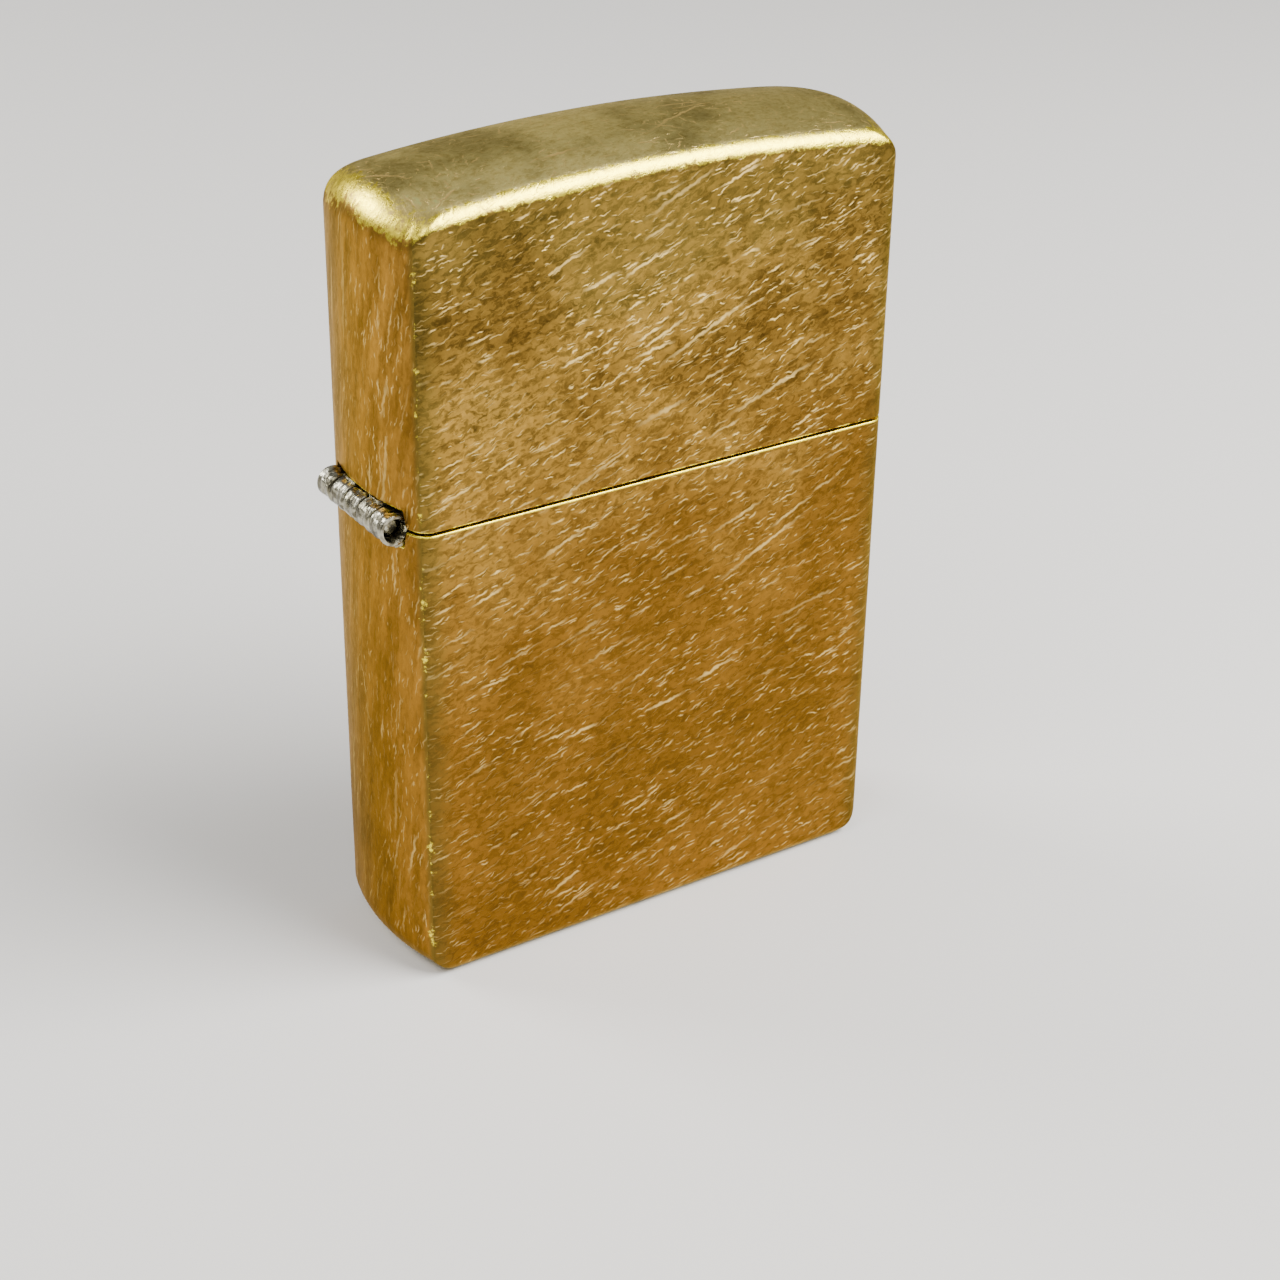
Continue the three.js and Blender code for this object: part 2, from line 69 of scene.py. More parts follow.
def make_camera():
    data = bpy.data.cameras.new("camera")
    data.lens = CAMERA_LENS
    data.clip_start = 0.005
    camera = bpy.data.objects.new("camera", data)
    bpy.context.scene.collection.objects.link(camera)
    flat = math.cos(CAMERA_ELEVATION)
    back = Vector((
        math.sin(CAMERA_AZIMUTH) * flat,
        -math.cos(CAMERA_AZIMUTH) * flat,
        math.sin(CAMERA_ELEVATION),
    ))
    camera.location = CAMERA_TARGET + back * CAMERA_DISTANCE
    camera.rotation_mode = "QUATERNION"
    camera.rotation_quaternion = back.to_track_quat("Z", "Y") @ Quaternion((0, 0, 1), CAMERA_ROLL)
    bpy.context.scene.camera = camera


make_camera()

# ---------------------------------------------------------------- sizes, in millimetres
case_low, case_high = (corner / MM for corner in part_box("case_bottom"))
lid_low, lid_high = (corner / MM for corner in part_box("lid_shell"))
HALF_WIDTH = case_high.x
HALF_DEPTH = case_high.y
HEIGHT = lid_high.z
pivots = {joint["name"]: Vector(joint.get("pos_m", (0, 0, 0))) / MM for joint in frame["joints"]}
PIN = pivots["lid_hinge"]
SPLIT = PIN.z

WALL = 0.7
SIDE_BULGE = 1.2
TOP_DOME = 1.3
TOP_CROWN = 0.9
SIDE_CORNER = 2.5      # rounding of the ends of the narrow sides, seen from the front
FACE_EDGE = 1.0        # rounding where the large faces meet the top and base
UPRIGHT_EDGE = 1.3     # rounding of the four upright edges
SPLIT_GAP = 0.17
RIM_BEVEL = 0.12
INNER_BEVEL = 0.08
RIM_SHOULDER = 0.05    # from the rim's bevel to the unworn face beside it
SHEET_WAVE = 0.02      # how far the drawn sheet dips
FLAT_BASE = 0.3        # the base stays flat up to here
UV_APART = 150         # keeps the ends' part of the UV map clear of the sides'
BARREL_RADIUS = 1.1
BARREL_HALF = 4.5
NOTCH_HALF = 4.64
NOTCH_HEIGHT = 1.14


# ---------------------------------------------------------------- node trees
class Field:
    """An output of a node. Arithmetic on it adds math nodes to its tree."""

    def __init__(self, tree, socket):
        self.tree, self.socket = tree, socket

    def math(self, operation, *others):
        return field(self.tree, "ShaderNodeMath", dict(enumerate((self, *others))), operation=operation)

    def __add__(self, other):
        return self.math("ADD", other)

    def __sub__(self, other):
        return self.math("SUBTRACT", other)

    def __rsub__(self, other):
        return self.math("MULTIPLY_ADD", -1.0, other)

    def __mul__(self, other):
        return self.math("MULTIPLY", other)

    def __truediv__(self, other):
        return self.math("DIVIDE", other)

    def __rtruediv__(self, other):
        return field(self.tree, "ShaderNodeMath", {0: other, 1: self}, operation="DIVIDE")

    def __abs__(self):
        return self.math("ABSOLUTE")

    def vector(self, operation, *others):
        return field(self.tree, "ShaderNodeVectorMath", dict(enumerate((self, *others))), operation=operation)

    def turned(self, angle):
        """Itself as a vector, turned about Z."""
        inputs = {"Vector": self, "Angle": angle}
        return field(self.tree, "ShaderNodeVectorRotate", inputs, rotation_type="Z_AXIS")

    def split(self, kind="ShaderNodeSeparateXYZ"):
        return [Field(self.tree, socket) for socket in add_node(self.tree, kind, {0: self}).outputs]

    def ease(self, low, high, to_low=0.0, to_high=1.0):
        """Its stretch from low to high, eased, as to_low to to_high."""
        inputs = {"Value": self, "From Min": low, "From Max": high, "To Min": to_low, "To Max": to_high}
        return field(self.tree, "ShaderNodeMapRange", inputs, interpolation_type="SMOOTHSTEP")

    def between(self, low, high):
        """A value that goes from low to high as this goes from 0 to 1."""
        return field(self.tree, "ShaderNodeMix", {0: self, 2: low, 3: high})

    def colour(self, low, high):
        """A colour that goes from low to high as this goes from 0 to 1."""
        low, high = ((*value, 1.0) if isinstance(value, tuple) else value for value in (low, high))
        return field(self.tree, "ShaderNodeMix", {0: self, 6: low, 7: high}, 2, data_type="RGBA")


def add_node(tree, kind, inputs=None, **settings):
    """A new node with its settings, and its inputs set to values or linked to outputs."""
    made = tree.nodes.new(kind)
    for key, value in settings.items():
        setattr(made, key, value)
    for key, value in (inputs or {}).items():
        value = value.socket if isinstance(value, Field) else value
        if isinstance(value, bpy.types.NodeSocket):
            tree.links.new(value, made.inputs[key])
        else:
            made.inputs[key].default_value = value
    return made


def field(tree, kind, inputs=None, output=0, **settings):
    return Field(tree, add_node(tree, kind, inputs, **settings).outputs[output])


def cloud(vector, scale, detail=4.0, rough=0.55, distortion=0.0):
    inputs = {"Vector": vector, "Scale": scale, "Detail": detail, "Roughness": rough, "Distortion": distortion}
    return field(vector.tree, "ShaderNodeTexNoise", inputs, "Fac")


def attribute(tree, name):
    return field(tree, "ShaderNodeAttribute", output="Fac", attribute_name=name)


def give(sockets, fields):
    for label, value in fields.items():
        value.tree.links.new(value.socket, sockets[label])


def new_group(name, inputs, outputs, kind="ShaderNodeTree"):
    """A node group with named sockets. inputs are name: (socket, default); outputs are name: socket."""
    tree = bpy.data.node_groups.new(name, kind)
    for label, (sort, default) in inputs.items():
        socket = tree.interface.new_socket(label, in_out="INPUT", socket_type="NodeSocket" + sort)
        if default is not None:
            socket.default_value = default
    for label, sort in outputs.items():
        tree.interface.new_socket(label, in_out="OUTPUT", socket_type="NodeSocket" + sort)
    given = {socket.name: Field(tree, socket) for socket in tree.nodes.new("NodeGroupInput").outputs if socket.name}
    return tree, given, tree.nodes.new("NodeGroupOutput").inputs


def use_group(tree, group, **inputs):
    made = add_node(tree, "ShaderNodeGroup", node_tree=group)
    for label, value in inputs.items():
        if isinstance(value, Field):
            tree.links.new(value.socket, made.inputs[label])
        else:
            made.inputs[label].default_value = value
    return {socket.name: Field(tree, socket) for socket in made.outputs}


def make_stroke_group():
    """One short straight scratch in each cell of a stretched, turned grid. Lengths are in the vector's units.

    Under is the mask of the scratches beneath, which nudge these where they cross.
    """
    tree, given, result = new_group("stroke_marks", {
        "Vector": ("Vector", None), "Under": ("Float", 0.0), "Cell": ("Float", 1.0), "Stretch": ("Float", 3.0),
        "Width": ("Float", 0.1), "Angle": ("Float", 0.3), "Spread": ("Float", 0.3), "Amount": ("Float", 0.6),
        "Seed": ("Float", 0.0)}, {"Mask": "Float"})
    length = given["Cell"] * given["Stretch"]
    size = field(tree, "ShaderNodeCombineXYZ", {0: length, 1: given["Cell"], 2: 1.0})
    place = given["Vector"].vector("ADD", given["Under"] * 0.03).turned(given["Angle"] * -1.0)
    grid = place.vector("DIVIDE", size).vector("ADD", given["Seed"] * 17.31)
    cells = add_node(tree, "ShaderNodeTexVoronoi", {"Vector": grid, "Scale": 1.0}, voronoi_dimensions="2D").outputs
    chance = Field(tree, cells["Color"]).split("ShaderNodeSeparateColor")
    offset = grid.vector("SUBTRACT", cells["Position"]).vector("MULTIPLY", size)
    along, aside, _ = offset.turned((chance[0] - 0.5) * given["Spread"]).split()
    across = abs(aside) / (given["Width"] * (chance[2] + 0.35))
    run = abs(along) / (length * (chance[1] * 0.3 + 0.15))
    shown = (chance[0] * 7.13).math("FRACT").math("LESS_THAN", given["Amount"])
    mark = across.ease(1.0, 0.2) * run.ease(1.0, 0.2) * shown * (chance[2] * 0.85 + 0.15)
    give(result, {"Mask": mark.math("MAXIMUM", given["Under"])})
    return tree


def make_wear_group():
    """Turns an edge attribute of 0 to 1 into a ragged polished mask."""
    tree, given, result = new_group("ragged_wear", {
        "Vector": ("Vector", None), "Edge": ("Float", 0.0), "Grain": ("Float", 1.0), "Reach": ("Float", 0.5),
    }, {"Mask": "Float"})
    coarse = cloud(given["Vector"], given["Grain"] * 0.5, 3.0)
    fine = cloud(given["Vector"], given["Grain"] * 2.6, 5.0, 0.7)
    low = 1.0 - given["Reach"]
    give(result, {"Mask": (given["Edge"] + coarse * 1.2 + fine * 1.3 - 1.25).ease(low, low + 0.22)})
    return tree


def make_tone_group():
    """Broad clouds and a fine mottle, both about 0.5, for tarnish and uneven polish."""
    tree, given, result = new_group("tarnish_tone", {
        "Vector": ("Vector", None), "Broad": ("Float", 0.12), "Fine": ("Float", 1.5),
    }, {"Broad": "Float", "Fine": "Float"})
    give(result, {
        "Broad": cloud(given["Vector"], given["Broad"], 4.0, 0.6).ease(0.3, 0.7),
        "Fine": cloud(given["Vector"], given["Fine"], 6.0, 0.7).ease(0.25, 0.75),
    })
    return tree


def make_grain_group():
    """Fine grain pulled out along some of the vector's axes: Drawn is how fine it stays on each."""
    tree, given, result = new_group("drawn_grain", {
        "Vector": ("Vector", None), "Drawn": ("Vector", (1.0, 1.0, 1.0)), "Fineness": ("Float", 4.0),
    }, {"Grain": "Float"})
    drawn = given["Vector"].vector("MULTIPLY", given["Drawn"])
    give(result, {"Grain": cloud(drawn, given["Fineness"], 5.0, 0.7).ease(0.3, 0.7)})
    return tree


def make_burn_group():
    """A mask for soot and charring that comes in between two heights, raggedly."""
    tree, given, result = new_group("burnt_upwards", {
        "Vector": ("Vector", None), "Ragged": ("Float", 0.5), "Wander": ("Float", 2.0), "Low": ("Float", 0.0),
        "High": ("Float", 1.0)}, {"Mask": "Float"})
    height = given["Vector"].split()[2] + (given["Ragged"] - 0.5) * given["Wander"]
    give(result, {"Mask": height.ease(given["Low"], given["High"])})
    return tree


def make_fibre_group():
    """Matted hairs, and the clumps they gather in."""
    tree, given, result = new_group("matted_fibre", {
        "Vector": ("Vector", None), "Stretch": ("Vector", (1.0, 1.0, 1.0)), "Fineness": ("Float", 3.0),
    }, {"Level": "Float", "Clumps": "Float"})
    drawn = given["Vector"].vector("MULTIPLY", given["Stretch"])
    strands = abs(cloud(drawn, given["Fineness"], 5.0, 0.65, 2.4) - 0.5).ease(0.12, 0.0)
    clumps = cloud(given["Vector"], 0.6).ease(0.3, 0.7)
    give(result, {"Level": strands * 0.6 + clumps * 0.4, "Clumps": clumps})
    return tree


def make_scuff_group():
    """Hair-fine scratches running every way through space, for metal that is handled."""
    tree, given, result = new_group("hairline_scuffs", {
        "Vector": ("Vector", None), "Fineness": ("Float", 1.5), "Thin": ("Float", 0.02)}, {"Mask": "Float"})
    made = None
    for turn, seed in ((0.5, 3.0), (-0.7, 11.0), (1.4, 23.0)):
        inputs = {"Vector": given["Vector"], "Axis": (0.3, 0.8, 0.5), "Angle": turn}
        axis = field(tree, "ShaderNodeVectorRotate", inputs)
        drawn = axis.vector("MULTIPLY", (0.12, 1.0, 1.0)).vector("ADD", (seed, seed, seed))
        line = (abs(cloud(drawn, given["Fineness"], 2.0, 0.5) - 0.5) / given["Thin"]).ease(1.0, 0.2)
        made = line if made is None else made.math("MAXIMUM", line)
    give(result, {"Mask": made})
    return tree


STROKES = make_stroke_group()
WEAR = make_wear_group()
TONE = make_tone_group()
GRAIN = make_grain_group()
BURN = make_burn_group()
FIBRE = make_fibre_group()
SCUFF = make_scuff_group()


# ---------------------------------------------------------------- materials
def new_material(name, roughness=0.4, metallic=0.0, **fixed):
    """A material whose Principled BSDF holds every constant on its own sockets, and its place in millimetres."""
    made = bpy.data.materials.new(name)
    made.use_nodes = True
    tree = made.node_tree
    shader = tree.nodes["Principled BSDF"].inputs
    for label, value in {"Roughness": roughness, "Metallic": metallic, **fixed}.items():
        shader[label.replace("_", " ")].default_value = value
    place = field(tree, "ShaderNodeTexCoord", output="Object")
    place = field(tree, "ShaderNodeVectorMath", {0: place, "Scale": 1 / MM}, operation="SCALE")
    return made, tree, shader, place


def bump(height, depth):
    """depth is in millimetres."""
    return field(height.tree, "ShaderNodeBump", {"Height": height, "Distance": depth * MM})


# cell, stretch and width in millimetres, amount, seed and extra spread of each layer of scratches
SCRATCH_LAYERS = (
    (0.32, 3.4, 0.055, 0.6, 1.0, 0.5),
    (0.55, 3.4, 0.075, 0.5, 2.0, 0.25),
    (0.95, 3.5, 0.095, 0.45, 3.0, 0.1),
    (2.0, 3.2, 0.125, 0.42, 4.0, 0.1),
    (6.0, 1.9, 0.17, 0.42, 5.0, 0.1),
)
WIDE_LEAN = math.radians(17)
NARROW_LEAN = math.radians(82)


def case_brass():
    """Raw brass, tumbled: wormy tarnish under short ragged scratches, with bright worn edges, painted reflection and
    painted light on the top, and painted shade on the upright edges.
    """
    made, tree, shader, place = new_material("case_brass", metallic=1.0, Specular_Tint=(0.95, 0.8, 0.5, 1))
    along, _, height_up = place.split()
    tone = use_group(tree, TONE, Vector=place, Broad=0.1, Fine=2.2)
    facing = attribute(tree, "narrow")
    crown = attribute(tree, "crown")
    narrow = facing.math("GREATER_THAN", 0.5)
    flank = narrow * (1.0 - crown)
    wide = 1.0 - crown.math("MAXIMUM", flank)
    beside = (abs(along) + tone["Fine"]).ease(16.6, 18.6) * wide
    corner = (1.0 - abs(facing * 2.0 - 1.0)).ease(0.25, 0.95) * (1.0 - crown)
    corner = corner.math("MAXIMUM", beside * 0.85)

    # scratches, leaning with the face they are on
    lean = narrow.between(WIDE_LEAN, NARROW_LEAN)
    splay = crown.between(0.2, 2.6)
    inputs = {"Vector": place, "Scale": 1.7, "Detail": 3.0}
    wander = field(tree, "ShaderNodeTexNoise", inputs, "Color").vector("SUBTRACT", (0.5, 0.5, 0.5))
    flat = field(tree, "ShaderNodeUVMap", uv_map="surface_mm")
    ragged = flat.vector("ADD", wander.vector("MULTIPLY", (0.5, 0.5, 0.5)))
    light = 0.0
    for cell, stretch, width, amount, seed, spread in SCRATCH_LAYERS:
        light = use_group(tree, STROKES, Vector=ragged, Under=light, Cell=cell, Stretch=stretch, Width=width,
                          Angle=lean, Spread=splay + spread, Amount=amount, Seed=seed)["Mask"]
    rise = (height_up + tone["Broad"] * 14.0).ease(28.0, 60.0) * flank.between(1.0, 0.2)
    scrape = light * cloud(place, 0.22, 3.0).ease(0.36, 0.62).between(0.35, 1.15)
    for mask, low, high in ((rise, 0.58, 1.15), (crown, 1.0, 0.95), (flank, 1.0, 0.7), (corner, 1.0, 0.4)):
        scrape = scrape * mask.between(low, high)

    # tarnish mottle, with painted reflection, painted light and painted shade laid over it
    brushed = ragged.turned(lean * -1.0)
    worms = cloud(brushed.vector("MULTIPLY", (0.45, 1.0, 1.0)), 2.3, 4.0, 0.62, 1.0)
    mottle = worms.ease(0.35, 0.74) * 0.75 + abs(worms - 0.54).ease(0.1, 0.0) * 0.25
    mottle = mottle * 0.7 + tone["Fine"] * 0.3
    streaks = cloud(brushed.vector("MULTIPLY", (0.16, 1.0, 1.0)), 0.75, 4.0, 0.65).ease(0.3, 0.72)
    mottle = flank.between(0.2, 0.68).between(mottle, streaks)
    mottle = (crown * 0.3).between(mottle, tone["Fine"])
    # on the top (crown) deep and pale are a greyer olive: a painted reflection of a pale sky, not the brass's own
    # colour
    deep = crown.colour(rise.colour((0.115, 0.055, 0.008), (0.036, 0.023, 0.005)), (0.27, 0.205, 0.055))
    pale = crown.colour(rise.colour((0.31, 0.144, 0.019), (0.48, 0.284, 0.052)), (0.84, 0.72, 0.27))
    # a darker band under the top edge of the wide faces; the upright edges and the ends of the wide faces are darkened
    # as painted shade
    band = (height_up + tone["Broad"] * 9.0).ease(50.0, 58.5) * wide
    edge_shade_and_top_band = (corner * 0.7).math("MAXIMUM", band * 0.5)
    body = edge_shade_and_top_band.colour(mottle.colour(deep, pale), (0.08, 0.062, 0.013))
    clouds_and_top_light = rise.between(tone["Broad"].ease(0.0, 1.0, 0.84, 1.14), tone["Broad"].ease(0.1, 0.9, 0.6, 1.36))
    # the top is painted light, lighter at its left end and darker at its right; the narrow sides are made a fifth
    # brighter
    clouds_and_top_light = clouds_and_top_light * crown.between(1.0, along.ease(-20.0, 20.0, 1.38, 0.76)) * flank.between(1.0, 1.2)
    grey = field(tree, "ShaderNodeCombineColor", {0: clouds_and_top_light, 1: clouds_and_top_light, 2: clouds_and_top_light})
    inputs = {0: 1.0, 6: body, 7: grey}
    body = field(tree, "ShaderNodeMix", inputs, 2, data_type="RGBA", blend_type="MULTIPLY")

    # scratched, worn and inner metal
    polished = use_group(tree, WEAR, Vector=place, Edge=attribute(tree, "wear"), Grain=1.0, Reach=0.45)["Mask"]
    body = scrape.colour(body, (0.98, 0.71, 0.245))
    body = (polished * 0.9).colour(body, (1.0, 0.8, 0.06))
    body = (attribute(tree, "inside") * 0.6).colour(body, (0.34, 0.23, 0.09))
    give(shader, {
        "Base Color": body,
        "Roughness": polished.between(mottle.ease(0.0, 1.0, 0.42, 0.32), tone["Fine"].ease(0.0, 1.0, 0.22, 0.36)),
        "Normal": bump(mottle * 0.7 + scrape * -0.5, 0.028),
    })
    return made


def pitted_steel():
    """Plated steel worn to an olive silver, hammered by tumbling, dark in its hollows."""
    made, tree, shader, place = new_material("hinge_steel", metallic=1.0)
    tone = use_group(tree, TONE, Vector=place, Broad=0.8, Fine=2.0)
    dents = field(tree, "ShaderNodeTexVoronoi", {"Vector": place, "Scale": 1.9}, "Distance", feature="SMOOTH_F1")
    dent = dents.ease(0.15, 0.6)
    hollow = (dent + tone["Fine"] * 0.35).ease(0.75, 1.2)
    body = tone["Broad"].colour((0.27, 0.25, 0.17), (0.56, 0.54, 0.43))
    give(shader, {
        "Base Color": (hollow * 0.8).colour(body, (0.07, 0.06, 0.035)),
        "Roughness": tone["Fine"].ease(0.0, 1.0, 0.14, 0.32),
        "Normal": bump(tone["Fine"] * 0.3 - dent, 0.05),
    })
    return made


def worked_metal(name, dark, light, rough, grime, drawn=(0.06, 0.06, 1.0), fineness=4.0, scratch=0.35,
                 depth=0.012, soot=None):
    """Sheet or turned metal: directional grain, cloudy grime, hairline scratches and, near a flame, soot.

    rough is its range of roughness, drawn how far the grain is stretched on each axis, and soot the heights
    in millimetres between which it darkens.
    """
    made, tree, shader, place = new_material(name, metallic=1.0)
    tone = use_group(tree, TONE, Vector=place, Broad=0.35, Fine=2.4)
    grain = use_group(tree, GRAIN, Vector=place, Drawn=drawn, Fineness=fineness)["Grain"]
    marks = use_group(tree, SCUFF, Vector=place, Fineness=1.1, Thin=0.012)["Mask"]
    body = (tone["Broad"].ease(0.5, 1.0) * 0.5).colour(grain.colour(dark, light), grime)
    body = (marks * scratch).colour(body, (0.9, 0.88, 0.84))
    level = grain * 0.6 + tone["Fine"] * 0.4
    shine = level.ease(0.1, 0.9, *rough)
    if soot:
        burnt = use_group(tree, BURN, Vector=place, Ragged=tone["Fine"], Wander=2.5, Low=soot[0], High=soot[1])
        body = (burnt["Mask"] * 0.75).colour(body, (0.09, 0.075, 0.06))
        shine = burnt["Mask"].between(shine, 0.55)
    give(shader, {"Base Color": body, "Roughness": shine, "Normal": bump(level - marks * 0.6, depth)})
    return made


def ferro_rod():
    """Pressed ferrocerium: dark, granular, with bright flecks."""
    made, tree, shader, place = new_material("ferro", metallic=0.7)
    tone = use_group(tree, TONE, Vector=place, Broad=1.2, Fine=5.0)
    fleck = field(tree, "ShaderNodeTexVoronoi", {"Vector": place, "Scale": 9.0}, "Distance").ease(0.22, 0.08)
    body = tone["Fine"].colour((0.05, 0.045, 0.04), (0.16, 0.15, 0.14))
    give(shader, {
        "Base Color": (fleck * tone["Broad"]).colour(body, (0.55, 0.52, 0.47)),
        "Roughness": tone["Fine"].ease(0.0, 1.0, 0.45, 0.8),
        "Normal": bump(tone["Fine"] + fleck, 0.04),
    })
    return made


def fibre(name, pale, shade, fineness, depth, stretch=(1.0, 1.0, 1.0), charred=None):
    """Matted or spun fibre: fine crossing hairs, dark between them. charred is the heights it blackens between."""
    made, tree, shader, place = new_material(name, roughness=0.95)
    fibres = use_group(tree, FIBRE, Vector=place, Stretch=stretch, Fineness=fineness)
    level = fibres["Level"]
    body = level.colour(shade, pale)
    if charred:
        burnt = use_group(tree, BURN, Vector=place, Ragged=fibres["Clumps"], Wander=1.6, Low=charred[0],
                          High=charred[1])["Mask"]
        body = (burnt * 0.95).colour(body, (0.02, 0.017, 0.015))
    give(shader, {"Base Color": body, "Roughness": level.ease(0.0, 1.0, 0.98, 0.82), "Normal": bump(level, depth)})
    return made


MATERIALS = {made.name.partition(".")[0]: made for made in (
    case_brass(),
    pitted_steel(),
    worked_metal("insert_steel", (0.42, 0.41, 0.39), (0.60, 0.59, 0.56), (0.26, 0.42), (0.27, 0.25, 0.21),
                 soot=(45.0, 50.5)),
    worked_metal("wheel_steel", (0.14, 0.14, 0.14), (0.33, 0.32, 0.31), (0.3, 0.55), (0.08, 0.07, 0.055),
                 drawn=(1.0, 0.2, 1.0), fineness=6.0, depth=0.02),
    worked_metal("rivet_steel", (0.48, 0.46, 0.42), (0.66, 0.64, 0.6), (0.2, 0.36), (0.30, 0.27, 0.21),
                 drawn=(1.0, 0.4, 1.0), fineness=3.0),
    worked_metal("spring_steel", (0.22, 0.22, 0.23), (0.40, 0.40, 0.41), (0.24, 0.4), (0.16, 0.13, 0.1),
                 drawn=(0.2, 1.0, 0.6), fineness=7.0, scratch=0.2),
    worked_metal("fitting_brass", (0.52, 0.36, 0.11), (0.72, 0.53, 0.2), (0.22, 0.38), (0.26, 0.17, 0.06),
                 drawn=(0.3, 0.3, 1.0), fineness=6.0, scratch=0.3),
    ferro_rod(),
    fibre("wick_yarn", (0.74, 0.67, 0.52), (0.34, 0.28, 0.19), 5.0, 0.05, charred=(41.5, 44.5)),
    fibre("cotton", (0.95, 0.93, 0.88), (0.66, 0.62, 0.54), 4.2, 0.16, stretch=(0.35, 1.0, 1.0)),
    fibre("felt", (0.70, 0.66, 0.56), (0.36, 0.33, 0.26), 4.0, 0.08, stretch=(1.0, 1.0, 0.5)),
)}


# ---------------------------------------------------------------- meshes
CRISP = math.radians(20)


def new_object(name, bm):
    """A new object in the scene that takes over a bmesh."""
    data = bpy.data.meshes.new(name)
    bm.to_mesh(data)
    bm.free()
    made = bpy.data.objects.new(name, data)
    bpy.context.scene.collection.objects.link(made)
    return made


def discard(*things):
    for thing in things:
        data = thing.data
        bpy.data.objects.remove(thing)
        bpy.data.meshes.remove(data)


def evaluated(thing):
    """What an object's modifiers make of it, as a bmesh."""
    graph = bpy.context.evaluated_depsgraph_get()
    data = bpy.data.meshes.new_from_object(thing.evaluated_get(graph))
    bm = bmesh.new()
    bm.from_mesh(data)
    bpy.data.meshes.remove(data)
    return bm


def finish_mesh(name, bm, kind, body, smooth_angle=math.radians(35), node=None):
    """Turns a bmesh in millimetres into a piece in metres that rides on a body.

    kind names its material. node is the CAD node it stands for, where that has another name.
    """
    if bm.calc_volume(signed=True) < 0:
        bmesh.ops.reverse_faces(bm, faces=bm.faces)
    bmesh.ops.scale(bm, vec=(MM, MM, MM), verts=bm.verts)
    piece = new_object(name, bm)
    data = piece.data
    data.materials.append(MATERIALS[kind])
    data.polygons.foreach_set("use_smooth", [True] * len(data.polygons))
    data.set_sharp_from_angle(angle=smooth_angle)
    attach(piece, body)
    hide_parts(node or name)
    return piece


def plan_loop(half_width, half_depth, bulge, corner):
    """The case's outline seen from above, anticlockwise from the middle of the +X side.

    Each row is x, y, outward normal x, normal y, distance along the outline.
    """
    curve = (half_depth**2 + bulge**2) / (2 * bulge)
    curve_x = half_width - curve
    corner_y = half_depth - corner
    corner_x = curve_x + math.sqrt((curve - corner) ** 2 - corner_y**2)
    turn = math.atan2(corner_y, corner_x - curve_x)

    def arc(cx, cy, radius, angles):
        return [(cx + radius * math.cos(a), cy + radius * math.sin(a), math.cos(a), math.sin(a)) for a in angles]

    def side_angles(middle):
        notch = math.asin(NOTCH_HALF / curve)
        steps = np.concatenate([
            np.linspace(-turn, turn, 44),
            np.linspace(notch - 0.03, notch + 0.03, 22),
            np.linspace(-notch - 0.03, -notch + 0.03, 22),
        ])
        return middle + np.sort(steps)

    right = arc(curve_x, 0, curve, side_angles(0.0))
    back = arc(corner_x, corner_y, corner, np.linspace(turn, math.pi / 2, 12)[1:-1])
    long_x = np.linspace(corner_x, -corner_x, 90)
    quarter = right[len(right) // 2:] + back + [(x, half_depth, 0.0, 1.0) for x in long_x[:45]]
    half = quarter + [(-x, y, -nx, ny) for x, y, nx, ny in reversed(quarter)]
    loop = half + [(x, -y, nx, -ny) for x, y, nx, ny in reversed(half)]
    rows = [loop[0]]
    for row in loop[1:]:
        if math.dist(row[:2], rows[-1][:2]) > 1e-4:
            rows.append(row)
    if math.dist(rows[0][:2], rows[-1][:2]) < 1e-4:
        rows.pop()
    rows = np.array(rows)
    steps = np.linalg.norm(np.roll(rows[:, :2], -1, axis=0) - rows[:, :2], axis=1)
    distance = np.concatenate([[0], np.cumsum(steps)[:-1]])
    return np.column_stack([rows, distance]), steps.sum()


def notch_rise(x, y):
    """How far the rim steps back over the hinge barrel."""
    t = np.clip((NOTCH_HALF - np.abs(y)) / 0.3 + 0.5, 0, 1)
    return np.where(x < 0, NOTCH_HEIGHT * t * t * (3 - 2 * t), 0.0)


